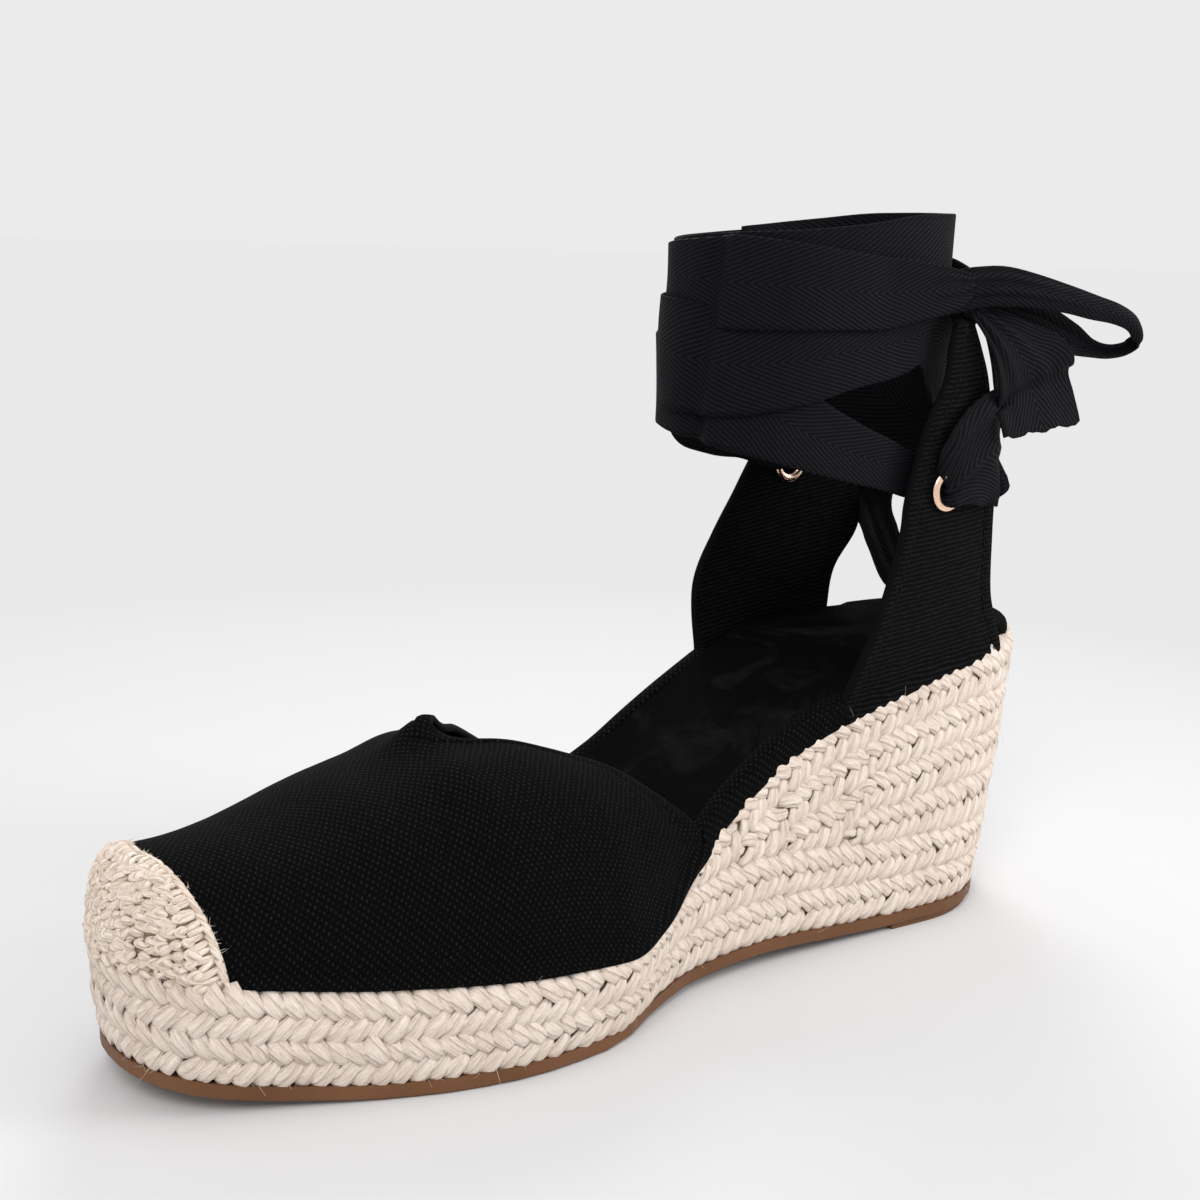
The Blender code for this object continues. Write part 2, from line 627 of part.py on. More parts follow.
def make_tail(name, rows, mat):
    """An end of tape that hangs: rows of s front, s back, x, z front and z back."""
    line = through(rows, 14)
    outer, inner = [], []
    for sf, sb, x, zf, zb in line:
        for face, shift in ((outer, 0.5), (inner, -0.5)):
            face.append([shoe(sf + (sb - sf) * t, x + shift * TAPE, zf + (zb - zf) * t)
                         for t in (0, 0.33, 0.67, 1)])
    return sheet_solid(name, outer, inner, mat, 40)


TAIL_FRONT = [  # front edge s, back edge s, x, front z, back z
    (28.6, 19.5, 26.4, 154.0, 156.0), (26.6, 9.0, 28.8, 148.4, 151.0),
    (24.6, -1.5, 29.6, 142.6, 146.4), (21.6, -6.0, 29.4, 135.2, 139.8),
    (18.0, -8.0, 29.2, 127.2, 130.8),
]
TAIL_BACK = [
    (22.2, 18.5, 19.0, 156.2, 156.4), (19.5, 10.5, 16.8, 150.6, 151.0),
    (14.5, 0.0, 14.6, 144.0, 145.0), (8.5, -7.5, 12.6, 137.0, 139.0),
    (4.0, -11.5, 10.4, 128.5, 130.5),
]


def centre_on_floor(free):
    """Moves the shoe so that the box of its pieces, free ends apart, is centred in x and y."""
    points = []
    for obj in bpy.data.objects:
        if obj.type == "MESH" and obj.name not in free and not obj.hide_render:
            points += [v.co for v in obj.data.vertices]
    low_x, high_x = min(p.x for p in points), max(p.x for p in points)
    low_y, high_y = min(p.y for p in points), max(p.y for p in points)
    root.location = (-(low_x + high_x) / 2, -(low_y + high_y) / 2, 0)


def clear_scene():
    for obj in list(bpy.data.objects):
        bpy.data.objects.remove(obj, do_unlink=True)


clear_scene()
root = bpy.data.objects.new("shoe_root", None)
bpy.context.scene.collection.objects.link(root)

rubber = material("tan rubber", (0.21, 0.13, 0.085), 0.6)
jute = material("jute braid", (0.72, 0.62, 0.51), 0.95)
crochet = material("crocheted jute", (0.72, 0.61, 0.48), 0.95)
suede = material("black suede", (0.012, 0.012, 0.013), 0.95)
canvas = material("black canvas", (0.010, 0.010, 0.011), 0.9)
rose_gold = material("rose gold metal", (0.90, 0.62, 0.48), 0.25, 1.0)
cotton = material("black cotton tape", (0.012, 0.012, 0.014), 0.85)

make_outsole(rubber)
make_wedge(jute)
make_insole(suede)
toe_shell("vamp", topline, 0.0, CANVAS, vamp_angles(38), 20, canvas)
toe_shell("toe_cap", cap_edge, -CAP - GAP, CAP, vamp_angles(26), 10, crochet)
make_strap("medial", STRAP_MEDIAL, STRAP_FOOT_MEDIAL, 0, EYELET_MEDIAL, canvas, rose_gold)
make_strap("lateral", STRAP_LATERAL, STRAP_FOOT_LATERAL, 1, EYELET_LATERAL, canvas, rose_gold)
make_wrap(cotton)
make_band("tape_lead_medial", lead_rows(LEAD_MEDIAL, 1), 18, cotton)
make_band("tape_lead_lateral", lead_rows(LEAD_LATERAL, -1), 15, cotton)
make_band("heel_tape", HEEL_TAPE, 44, cotton)
make_knot(cotton)
make_band("bow_loop", BOW_LOOP, 30, cotton)
make_band("bow_loop_back", BACK_LOOP, 26, cotton)
make_tail("tape_tail", TAIL_FRONT, cotton)
make_tail("tape_tail_back", TAIL_BACK, cotton)
centre_on_floor({"knot", "bow_loop", "bow_loop_back", "tape_tail", "tape_tail_back"})
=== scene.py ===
"""Looks of the espadrille wedge sandal: plaited jute, crochet, canvas, suede and cotton tape.

Shapes repeat the part's own functions. Sizes are in millimetres in the shoe's frame: s forward
from the outsole's heel, x medial, z up. Points are kept as (x, -s, z), and put() moves them
to the frame's place in metres.
"""
import math

import bpy
import numpy as np
from mathutils import Matrix, Vector, noise


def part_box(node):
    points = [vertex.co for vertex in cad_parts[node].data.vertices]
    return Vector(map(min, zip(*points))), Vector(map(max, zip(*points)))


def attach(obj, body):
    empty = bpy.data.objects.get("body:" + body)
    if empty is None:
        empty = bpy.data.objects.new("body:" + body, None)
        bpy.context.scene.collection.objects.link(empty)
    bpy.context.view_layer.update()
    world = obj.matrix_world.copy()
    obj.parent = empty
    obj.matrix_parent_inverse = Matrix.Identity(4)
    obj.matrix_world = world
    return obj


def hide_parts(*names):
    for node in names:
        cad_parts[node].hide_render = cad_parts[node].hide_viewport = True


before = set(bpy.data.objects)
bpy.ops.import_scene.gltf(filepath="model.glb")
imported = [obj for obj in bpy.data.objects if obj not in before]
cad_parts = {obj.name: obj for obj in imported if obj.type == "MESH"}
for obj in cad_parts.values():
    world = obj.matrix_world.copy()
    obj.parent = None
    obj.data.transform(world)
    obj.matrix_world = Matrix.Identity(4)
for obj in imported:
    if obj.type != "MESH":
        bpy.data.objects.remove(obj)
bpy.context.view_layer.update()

MM = 0.001
TURN = 2 * math.pi
SIDES = ("medial", "lateral")
GAP = 0.3
LENGTH = 245         # outsole, heel to toe
HEEL_RAKE = 9.5
TOP_TOE = 246        # the upper's tip, past the outsole's
SOLE_THICK = 3.6
UPPER_INSET = 0.8
CANVAS = 1.6
STRAP = 2
TAPE_HALF = 14
TAPE_WALL = 0.7
EYELET_OUT = 5.4     # flange radius
EYELET_BORE = 3
PLAIT_PITCH = 3.9    # one strand to the next along a plait
CAP_DEPTH = 24       # usual depth of the toe cap from its rim to the toe, along it
SEED = 11

SOLE_PLAN = [  # s, medial, lateral half width
    (0, 27, 27), (30, 28.5, 28.5), (55, 27.5, 30), (85, 27, 31), (110, 28, 34), (128, 34, 38),
    (146, 42.5, 42.5), (165, 44, 44), (182, 41.5, 43.5), (200, 35.5, 39.5), (222, 28, 29.5),
    (245, 25.5, 24),
]
TOP_PLAN = [  # s, medial, lateral half width of the wedge's top edge
    (-10, 23, 24), (15, 24, 26.5), (50, 25.5, 34), (80, 23.5, 32.5), (100, 25, 33), (116, 30.5, 36),
    (130, 38.5, 39.5), (145, 44.5, 42.5), (160, 45, 44), (180, 41.5, 43.5), (200, 35.5, 39),
    (222, 28, 29), (246, 25.5, 24),
]
BOTTOM_RISE = [  # s, height of the outsole's underside without the heel pad
    (0, 1.3), (46, 1.3), (62, 1.9), (90, 3.2), (115, 1.8), (135, 0.4), (150, 0), (195, 0), (215, 1.4),
    (230, 3.4), (245, 6.4),
]
TOP_RISE = [  # s, medial, lateral height of the wedge's top edge
    (-10, 71.5, 71.5), (20, 69.3, 69.5), (35, 66.9, 68.8), (50, 63.6, 67), (66, 59.2, 61.5),
    (80, 53.6, 54.6), (92, 47, 47.4), (105, 38.6, 38.6), (118, 30.5, 30.5), (130, 25, 25),
    (142, 22.4, 22.4), (158, 22, 22), (190, 23.6, 23.6), (220, 26.2, 26.2), (246, 31.2, 31.2),
]
INSTEP = [  # s, height of the vamp's ridge over the wedge's top edge
    (104, 8), (111, 14), (118, 20.5), (130, 31.5), (144, 38.5), (158, 42), (168, 42.2), (181, 37.4),
    (194, 33.2), (206, 29.2), (218, 25.5), (232, 22.4), (246, 21),
]
TOPLINE = [  # degrees round the section from the medial edge, s of the vamp's rear edge
    (0, 110), (25, 112), (50, 118), (68, 127), (78, 138), (83, 149), (86.5, 158), (90, 166),
    (94.5, 168), (99, 165), (106, 159), (116, 152), (128, 142), (146, 126), (180, 110),
]
CAP_EDGE = [  # degrees round the section, s of the toe cap's rear edge
    (0, 228), (30, 230.5), (60, 234), (90, 237.5), (120, 236), (150, 232), (180, 228),
]
SEAM = [  # s, height of the lower pair of plaits over the outsole
    (-10, 19.6), (30, 19.8), (60, 20.2), (95, 21), (120, 21.4), (131, 20.6), (140, 19.4), (165, 19.4),
    (190, 19.8), (246, 21),
]
FAN_ROW = [  # s, height of a row of the fan
    (-10, 11.2), (30, 10.4), (60, 9.8), (90, 9.9), (120, 10.2), (131, 10.2),
]
STRAP_MEDIAL = [  # s, x and z of the front edge, then of the back edge
    (57.5, 26, 81, 13.5, 22, 86), (50.5, 25.8, 103, 16, 23.4, 103), (49, 25.6, 114, 17, 23.8, 114),
    (44.5, 25.8, 130, 19, 23.4, 129), (38.2, 25.2, 142.8, 21.4, 22.8, 141.6),
    (36.8, 24.6, 149.6, 24, 22.2, 149.2), (35.2, 24.2, 156.4, 27.6, 22, 156.8),
]
STRAP_LATERAL = [
    (69.2, -33.6, 83, 22.8, -29.8, 84), (63.6, -32.8, 97, 14.2, -30.4, 96),
    (56.2, -32, 110, 15.4, -30.4, 110), (48, -32, 124, 21, -30.8, 124),
    (42.5, -31.8, 138, 26, -31, 139), (39, -31.6, 150, 30.5, -31.4, 151),
]
STRAP_FOOT = {"medial": (65, 9), "lateral": (68.5, 26)}
EYELETS = {"medial": (37.2, 114.9), "lateral": (39.6, 114.6)}
RING = (-2.6, 59.5, 26.5, 41.5, 2.2)   # centre x, centre s, half x, half s, squareness


# ---------------- curves
def smooth(table, column=1):
    """Monotone cubic through a table's first column and another, for numbers or arrays."""
    rows = np.array(table, dtype=float)
    x, y = rows[:, 0], rows[:, column]
    h = np.diff(x)
    slope = np.diff(y) / h
    d = np.zeros(len(x))
    for i in range(1, len(x) - 1):
        if slope[i - 1] * slope[i] > 0:
            w1, w2 = 2 * h[i] + h[i - 1], h[i] + 2 * h[i - 1]
            d[i] = (w1 + w2) / (w1 / slope[i - 1] + w2 / slope[i])
    d[0], d[-1] = slope[0], slope[-1]

    def value(at):
        at = np.clip(at, x[0], x[-1])
        i = np.clip(np.searchsorted(x, at, side="right") - 1, 0, len(h) - 1)
        t = (at - x[i]) / h[i]
        a, b = (1 + 2 * t) * (1 - t) ** 2, t * t * (3 - 2 * t)
        c, e = t * (1 - t) ** 2, t * t * (t - 1)
        return a * y[i] + b * y[i + 1] + h[i] * (c * d[i] + e * d[i + 1])

    return value


def through(rows, count):
    """Catmull-Rom samples through the rows of a table, ends included."""
    p = np.array(rows, dtype=float)
    p = np.vstack([2 * p[0] - p[1], p, 2 * p[-1] - p[-2]])
    u = np.linspace(0, len(p) - 3, count + 1)
    i = np.minimum(u.astype(int), len(p) - 4)
    t = (u - i)[:, None]
    a, b, c, d = p[i], p[i + 1], p[i + 2], p[i + 3]
    return 0.5 * (2 * b + (c - a) * t + (2 * a - 5 * b + 4 * c - d) * t ** 2
                  + (3 * b - a - 3 * c + d) * t ** 3)


def smoothstep(t):
    t = np.clip(t, 0, 1)
    return t * t * (3 - 2 * t)


def bell(x, middle, width):
    """Falls from one at the middle to 0.37 at a width away."""
    return np.exp(-((x - middle) / width) ** 2)


def rounded(distance, radius, power):
    """How far an end is rounded in at this distance from its tip."""
    t = 1 - np.clip(distance / radius, 0, 1)
    return (1 - t ** power) ** (1 / power)


def unit(v):
    return v / np.maximum(np.linalg.norm(v, axis=-1, keepdims=True), 1e-9)


def lengths(points, axis=0):
    """Distance from the first point to each, along an axis of a line or a grid of points."""
    steps = np.diff(points, axis=axis, prepend=np.take(points, [0], axis))
    return np.cumsum(np.linalg.norm(steps, axis=-1), axis)


def sample(at, far, rows):
    """Rows known at some distances, at other distances."""
    return np.stack([np.interp(at, far, column) for column in rows.T], -1)


def normals(grid):
    return unit(np.cross(np.gradient(grid, axis=0), np.gradient(grid, axis=1)))


def stacked(*parts):
    """Arrays side by side in a new last axis."""
    return np.stack(np.broadcast_arrays(*parts), -1)


def point(s, x, z):
    """Points of the shoe's frame as (x, -s, z)."""
    return stacked(x, -np.asarray(s, float), z)


def sign(lateral):
    return np.where(lateral, -1, 1)


def sides(tables, s, lateral):
    """A value that differs between the medial and the lateral side."""
    return np.where(lateral, tables[1](s), tables[0](s))


sole_half, top_half, top_height = (
    (smooth(table, 1), smooth(table, 2)) for table in (SOLE_PLAN, TOP_PLAN, TOP_RISE))
bottom_height, instep, topline, cap_edge, seam_height, fan_height = (
    smooth(table) for table in (BOTTOM_RISE, INSTEP, TOPLINE, CAP_EDGE, SEAM, FAN_ROW))


def sole_x(s, lateral, inset=0):
    ends = rounded(s - inset, 31, 2) * rounded(LENGTH - inset - s, 34, 2.4)
    return (sides(sole_half, s, lateral) - inset) * ends * sign(lateral)


def top_x(s, lateral, inset=0):
    ends = rounded(s + HEEL_RAKE - inset, 28, 2.1) * rounded(TOP_TOE - inset - s, 34, 2.4)
    return (sides(top_half, s, lateral) - inset) * ends * sign(lateral)


outsole_low, outsole_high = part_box("outsole")
ring_low, ring_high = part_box("ankle_wrap")
ORIGIN = np.array([(ring_low.x + ring_high.x) / 2 - RING[0] * MM, outsole_high.y, outsole_low.z])


def put(points):
    """Shoe points to the frame's place in metres."""
    return np.asarray(points, float) * MM + ORIGIN


# ---------------- meshes
def hoop(ids):
    """A grid of point numbers with its first column repeated after its last."""
    return np.pad(ids, ((0, 0), (0, 1)), mode="wrap")


def squares(ids):
    """The faces between neighbours in a grid of point numbers."""
    return stacked(ids[:-1, :-1], ids[:-1, 1:], ids[1:, 1:], ids[1:, :-1]).reshape(-1, 4)


def fans(ids, start, end):
    """Triangles from a grid's first row to one tip, and from its last row to another."""
    return np.concatenate([stacked(ids[0, 1:], ids[0, :-1], start), stacked(ids[-1, :-1], ids[-1, 1:], end)])


def add_object(name, data):
    made = bpy.data.objects.new(name, data)
    bpy.context.scene.collection.objects.link(made)
    return made


class Cloth:
    """Closed bodies gathered into one mesh, with a UV map in millimetres."""

    def __init__(self):
        self.points, self.faces, self.uvs, self.count = [], [], [], 0

    def add(self, points, faces, uvs):
        """Bodies that are wound alike; they are turned over if they face inwards."""
        points = points.reshape(-1, 3)
        local = points - points.mean(0)
        volume = 0
        for f in faces:
            for corners in ([0, 1, 2], [0, 2, 3])[:f.shape[1] - 2]:
                a, b, c = (local[f[:, i]] for i in corners)
                volume += (a * np.cross(b, c)).sum()
        way = -1 if volume < 0 else 1
        self.points.append(points)
        self.faces += [f[:, ::way] + self.count for f in faces]
        self.uvs += [uv[:, ::way] for uv in uvs]
        self.count += len(points)
        return self

    def tubes(self, centre, out, width, height, around=12, plies=3, twist=1.2, rough=0.1, shift=(0, 0)):
        """Closed strands: centre is (strand, step, 3), out is up from what they lie on."""
        many, steps = centre.shape[:2]
        axis = unit(np.gradient(centre, axis=1))
        flat = unit(np.cross(out, axis))
        up = unit(np.cross(axis, flat))
        turn = -math.pi / 2 + TURN * np.arange(around) / around
        along = np.linspace(0, 1, steps)[:, None]
        ply = 1 + rough * np.cos(plies * turn + TURN * twist * along)
        a = width[:, :, None] * (np.cos(turn) * ply)
        b = height[:, :, None] * (np.sin(turn) * ply)
        rings = centre[:, :, None] + flat[:, :, None] * a[..., None] + up[:, :, None] * b[..., None]
        ends = centre[:, [0, -1]] + 0.35 * (centre[:, [0, -1]] - centre[:, [1, -2]])
        points = np.concatenate([rings.reshape(many, -1, 3), ends], 1)
        size = points.shape[1]
        first = (np.arange(many) * size)[:, None, None]
        long = lengths(centre, 1)[:, -1]
        girth = TURN * np.sqrt(width.max(1) * height.max(1))
        uv = stacked(long[:, None, None] * along, girth[:, None, None] * np.arange(around + 1) / around)
        uv = (uv + np.reshape(shift, (-1, 1, 1, 2))).reshape(many, -1, 2)
        ids = hoop(np.arange(steps * around).reshape(steps, around))
        uv_ids = np.arange(steps * (around + 1)).reshape(steps, around + 1)
        faces = (squares(ids), fans(ids, size - 2, size - 1))
        uv_faces = (squares(uv_ids), fans(uv_ids, uv_ids[0, :-1], uv_ids[-1, :-1]))
        return self.add(points, [(first + f).reshape(-1, f.shape[1]) for f in faces],
                        [uv[:, f].reshape(-1, f.shape[1], 2) for f in uv_faces])

    def wall(self, outer, inner, uv, rim=0, plain_rim=False):
        """A closed wall between two grids; its edges bulge by rim."""
        middle = (outer + inner) / 2
        edge = np.zeros_like(middle)
        edge[0] += middle[0] - middle[1]
        edge[-1] += middle[-1] - middle[-2]
        edge[:, 0] += middle[:, 0] - middle[:, 1]
        edge[:, -1] += middle[:, -1] - middle[:, -2]
        n = middle[..., 0].size
        ids = np.arange(n).reshape(middle.shape[:2])
        loop = np.concatenate([ids[0], ids[1:, -1], ids[-1, -2::-1], ids[-2:0:-1, 0]])
        bulge = (middle + unit(edge) * rim).reshape(-1, 3)[loop]
        points = np.concatenate([outer.reshape(-1, 3), inner.reshape(-1, 3), bulge])
        face = squares(ids)[:, [0, 3, 2, 1]]
        band = squares(hoop(np.stack([loop, 2 * n + np.arange(len(loop)), n + loop])))
        uv = uv.reshape(-1, 2)
        band_uv = uv[squares(hoop(np.stack([loop] * 3)))] * (not plain_rim)
        return self.add(points, [face, face[:, ::-1] + n, band], [uv[face], uv[face[:, ::-1]], band_uv])

    def skin(self, rings, uv, lids=True):
        """A closed body from stacked rings that run from the heel tip, medial side first.

        Its lids are strips from side to side; without lids the last ring meets the first.
        """
        rows, cols = rings.shape[:2]
        ids = np.arange(rows * cols).reshape(rows, cols)
        faces = [squares(hoop(ids if lids else np.vstack([ids, ids[:1]])))]
        if lids:
            half = cols // 2
            k = np.arange(1, half - 1)
            strip = stacked(k, k + 1, cols - k - 1, cols - k)
            tips = np.array([[0, 1, cols - 1], [half - 1, half, half + 1]])
            top = ids[-1, 0]
            faces += [strip[:, ::-1], tips[:, ::-1], strip + top, tips + top]
        return self.add(rings, faces, [uv.reshape(-1, 2)[f] for f in faces])

    def make(self, name, mat, slot, replaces=()):
        mesh = bpy.data.meshes.new(name)
        faces = [corners for f in self.faces for corners in f.tolist()]
        mesh.from_pydata(put(np.concatenate(self.points)), [], faces)
        layer = mesh.uv_layers.new(name="millimetres")
        layer.data.foreach_set("uv", np.concatenate([uv.ravel() for uv in self.uvs]))
        mesh.validate()
        mesh.shade_smooth()
        mesh.materials.append(mat)
        obj = add_object(name, mesh)
        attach(obj, "root")
        if replaces:
            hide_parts(*replaces)
        return obj


# ---------------- materials
class Wire:
    """A node's output, for writing sums."""

    def __init__(self, look, socket):
        self.look, self.socket = look, socket

    def __add__(self, other):
        return self.look.math("ADD", self, other)

    def __sub__(self, other):
        return self.look.math("SUBTRACT", self, other)

    def __mul__(self, other):
        return self.look.math("MULTIPLY", self, other)

    def sine(self):
        return self.look.math("SINE", self)


class Look:
    """A node material: short calls that return wires."""

    def __init__(self, name):
        self.mat = bpy.data.materials.new(name)
        self.mat.use_nodes = True
        self.tree = self.mat.node_tree
        self.shader = self.tree.nodes["Principled BSDF"]

    def node(self, kind, inputs=(), output=0, **settings):
        """A new node, with values or wires for its inputs by number or name."""
        made = self.tree.nodes.new("ShaderNode" + kind)
        for key, value in settings.items():
            setattr(made, key, value)
        for key, value in dict(inputs).items():
            self.link(made.inputs[key], value)
        return Wire(self, made.outputs[output])

    def link(self, socket, value):
        if isinstance(value, Wire):
            self.tree.links.new(value.socket, socket)
        elif socket.type == "RGBA":
            socket.default_value = (*value, 1)
        else:
            socket.default_value = value

    def math(self, operation, *values):
        return self.node("Math", enumerate(values), operation=operation)

    def parts(self, vector):
        first = self.node("SeparateXYZ", {0: vector})
        return [Wire(self, output) for output in first.socket.node.outputs]

    def place(self):
        """Position in the shoe, in metres."""
        return self.node("TexCoord", output="Object")

    def uv(self):
        """The UV map's two distances in millimetres."""
        return self.parts(self.node("UVMap", uv_map="millimetres"))[:2]

    def noise(self, where, scale, detail=3, rough=0.55, distortion=0):
        inputs = {"Vector": where, "Scale": scale, "Detail": detail, "Roughness": rough,
                  "Distortion": distortion}
        return self.node("TexNoise", inputs, "Fac")

    def weave(self, u_scale, v_scale, *settings):
        """Noise over the UV map, stretched."""
        u, v = self.uv()
        return self.noise(self.node("CombineXYZ", {0: u * u_scale, 1: v * v_scale}), *settings)

    def ramp(self, value, low, high, to_low=0, to_high=1):
        return self.node("MapRange", enumerate((value, low, high, to_low, to_high)), clamp=True)

    def mix(self, factor, a, b):
        return self.node("Mix", {0: factor, 6: a, 7: b}, 2, data_type="RGBA")

    def finish(self, color, rough, height=None, distance=0.1, strength=1, specular=0.5, metal=0):
        """Sets the shader; the bump's distance is in millimetres."""
        values = {"Base Color": color, "Roughness": rough, "Specular IOR Level": specular, "Metallic": metal}
        if height is not None:
            bump = {"Distance": distance * MM, "Strength": strength, "Height": height}
            values["Normal"] = self.node("Bump", bump)
        for name, value in values.items():
            self.link(self.shader.inputs[name], value)
        return self.mat


def jute_look(name, pale, dark, shade):
    """Spun jute: fibres along each strand, paler and darker plies, and painted shade, a little red, in the
    grooves between the plies.
    """
    look = Look(name)
    u, v = look.uv()
    fibre = look.weave(0.14, 1.5, 1.6, 4, 0.66, 0.3)
    groove = look.ramp((v * 3.3 + u * 0.35).sine(), -1, -0.45, 1, 0)
    patch = look.noise(look.place(), 95, 3, 0.6)
    blotch = look.noise(look.place(), 420, 2, 0.5)
    color = look.mix(look.ramp(fibre * 0.75 + patch * 0.35, 0.38, 0.68), dark, pale)
    color = look.mix(look.ramp(blotch, 0.60, 0.80, 0, 0.3), color, shade)
    # Painted shade: the grooves between the plies are mixed towards the shade colour.
    color = look.mix(groove * 0.36, color, shade)
    return look.finish(color, 0.95, fibre * 1.1 - groove * 0.55, 0.7, 0.9, specular=0.1)


def canvas_look(name, along, across, rib, crest_highlight):
    """Black plain-weave canvas: raised crossings in a brick pattern, or ribs on the straps."""
    look = Look(name)
    u, v = look.uv()
    wobble = look.weave(0.16, 0.16, 1, 2) * 1.1
    a = ((u + wobble) * (TURN / along)).sine()
    b = ((v + wobble) * (TURN / across)).sine()
    crown = look.ramp(a * b, 0.25, 0.95) * (1 - rib) + look.ramp(a, -0.5, 0.9) * rib
    slub = look.weave(0.5, 0.5, 1, 3)
    lint = look.weave(0.7, 0.7, 1, 1)
    tone = crown * look.ramp(slub, 0.32, 0.66, 0.1, 1)
    # Painted highlight: the raised crossings or ribs are coloured paler than the black between them.
    color = look.mix(tone, (0.0012, 0.0012, 0.0014), crest_highlight)
    color = look.mix(look.ramp(lint, 0.80, 0.86, 0, 0.5), color, (0.05, 0.05, 0.052))
    rough = look.ramp(crown, 0.1, 0.9, 0.95, 0.76)
    return look.finish(color, rough, crown * 0.9 + slub * 0.3, 0.22, 0.9, specular=0.06)


def tape_look():
    """Black herringbone tape: twill lines that turn at the middle, and a firm selvedge."""
    look = Look("cotton_tape")
    u, v = look.uv()
    off = look.math("ABSOLUTE", v)
    twill = ((u - off * 1.75) * (TURN / 2.3)).sine()
    yarn = (v * (TURN / 0.62)).sine()
    grain = look.weave(0.35, 1.6, 1.2, 3)
    line = look.ramp(twill, -0.7, 0.9) * look.ramp(off, 12.6, 13.1, 1, 0.55)
    tone = line * look.ramp(grain, 0.3, 0.8, 0.55, 1)
    # Painted highlight: the twill lines, weaker at the selvedge, are coloured paler than the black between
    # them.
    color = look.mix(tone, (0.0026, 0.0027, 0.0036), (0.0070, 0.0074, 0.0102))
    rough = look.ramp(line, 0, 1, 0.9, 0.66)
    return look.finish(color, rough, line * 0.6 + yarn * 0.16, 0.2, 0.9, specular=0.09)


def suede_look():
    """Black suede: short nap brushed into soft paler streaks and finger marks."""
    look = Look("black_suede")
    stroke = look.noise(look.place(), 55, 4, 0.6, 1.2)
    nap = look.noise(look.place(), 900, 3, 0.7)
    fine = look.noise(look.place(), 3200, 2, 0.6)
    tone = look.ramp(stroke, 0.50, 0.74) * 0.7 + nap * 0.35
    color = look.mix(look.ramp(tone, 0.1, 1), (0.0012, 0.0012, 0.0013), (0.0105, 0.0105, 0.0098))
    return look.finish(color, 0.96, nap * 0.7 + fine * 0.5, 0.25, 0.8, specular=0.03)


def rubber_look():
    """Tan moulded rubber, satin and slightly dusty, with fine ribs across the underside."""
    look = Look("tan_rubber")
    x, y = look.parts(look.place())[:2]
    facing_up = look.parts(look.node("NewGeometry", output="Normal"))[2]
    under = look.ramp(facing_up, -0.9, -0.6, 1, 0)
    ribs = ((y + (x * 900).sine() * 0.0012) * 2100).sine()
    dust = look.noise(look.place(), 260, 4, 0.65)
    cloud = look.noise(look.place(), 30, 2, 0.5)
    color = look.mix(look.ramp(cloud, 0.3, 0.7), (0.118, 0.050, 0.020), (0.158, 0.069, 0.029))
    color = look.mix(look.ramp(dust, 0.55, 0.8, 0, 0.15), color, (0.23, 0.13, 0.075))
    rough = look.ramp(dust, 0.3, 0.8, 0.42, 0.62)
    return look.finish(color, rough, dust * 0.12 + ribs * 0.9 * under, 0.4, 0.6, specular=0.25)


def gold_look():
    """Rose-gold plate with faint rub marks."""
    look = Look("rose_gold")
    rub = look.noise(look.place(), 1500, 3, 0.6)
    color = look.mix(look.ramp(rub, 0.35, 0.7), (0.90, 0.58, 0.42), (0.98, 0.72, 0.56))
    return look.finish(color, look.ramp(rub, 0.3, 0.8, 0.16, 0.30), rub, 0.02, 0.5, metal=1)


def thread_look(name, color):
    """Sewing thread with its own twist."""
    look = Look(name)
    u, v = look.uv()
    twist = (u * 7 + v * 4).sine()
    shade = look.mix(look.ramp(twist, -0.8, 0.8), [0.45 * c for c in color], color)
    return look.finish(shade, 0.85, twist, 0.05, 0.8, specular=0.12)


# Each jute's last colour is its painted shade in the grooves between plies, and also the colour of its random
# blotches.
jute = jute_look("jute_braid", (0.88, 0.775, 0.69), (0.67, 0.55, 0.455), (0.58, 0.445, 0.34))
# The core's colours are a darker copy of the jute: painted shade in the gaps between the plaits.
shaded_jute_core = jute_look("shaded_jute_core", (0.74, 0.61, 0.50), (0.54, 0.42, 0.32), (0.44, 0.32, 0.22))
crochet = jute_look("crochet_jute", (0.97, 0.86, 0.76), (0.77, 0.63, 0.51), (0.64, 0.47, 0.34))
# The cap base's colours are a darker copy of the crochet: painted shade in the holes between stitches.
cap_shade = jute_look("cap_shade", (0.52, 0.40, 0.29), (0.34, 0.24, 0.15), (0.24, 0.15, 0.09))
# The last colour of each canvas is its painted highlight on the raised crossings or ribs.
canvas = canvas_look("black_canvas", 1.5, 2.1, 0, (0.014, 0.014, 0.0145))
ribbed = canvas_look("black_canvas_ribbed", 1.2, 1.3, 0.75, (0.0095, 0.0099, 0.012))
tape = tape_look()
suede = suede_look()
rubber = rubber_look()
gold = gold_look()
black_thread = thread_look("black_thread", (0.007, 0.007, 0.008))


# ---------------- camera and light
def make_camera():
    """Low three-quarter view of the medial side, toe to the left."""
    azimuth, elevation, roll = (math.radians(a) for a in (54.93, 13.06, 1.68))
    distance = 0.4366
    target = Vector(put((-22.3, -107.6, 84.9)))
    turned = Matrix.Rotation(azimuth, 3, "Z") @ Matrix.Rotation(math.pi / 2 - elevation, 3, "X")
    turned = turned @ Matrix.Rotation(roll, 3, "Z")
    data = bpy.data.cameras.new("camera")
    data.sensor_width = 36
    data.lens = 51.765
    data.clip_start = 0.02
    camera = add_object("camera", data)
    camera.matrix_world = turned.to_4x4()
    camera.location = target + turned @ Vector((0, 0, distance))
    bpy.context.scene.camera = camera


def area_light(name, place, size, power, color=(1, 1, 1)):
    """A round lamp that faces the shoe."""
    data = bpy.data.lights.new(name, "AREA")
    data.shape = "DISK"
    data.size = size
    data.energy = power
    data.color = color
    lamp = add_object(name, data)
    lamp.location = place
    lamp.rotation_mode = "QUATERNION"
    lamp.rotation_quaternion = (Vector(place) - Vector((0, 0, 0.08))).to_track_quat("Z", "Y")


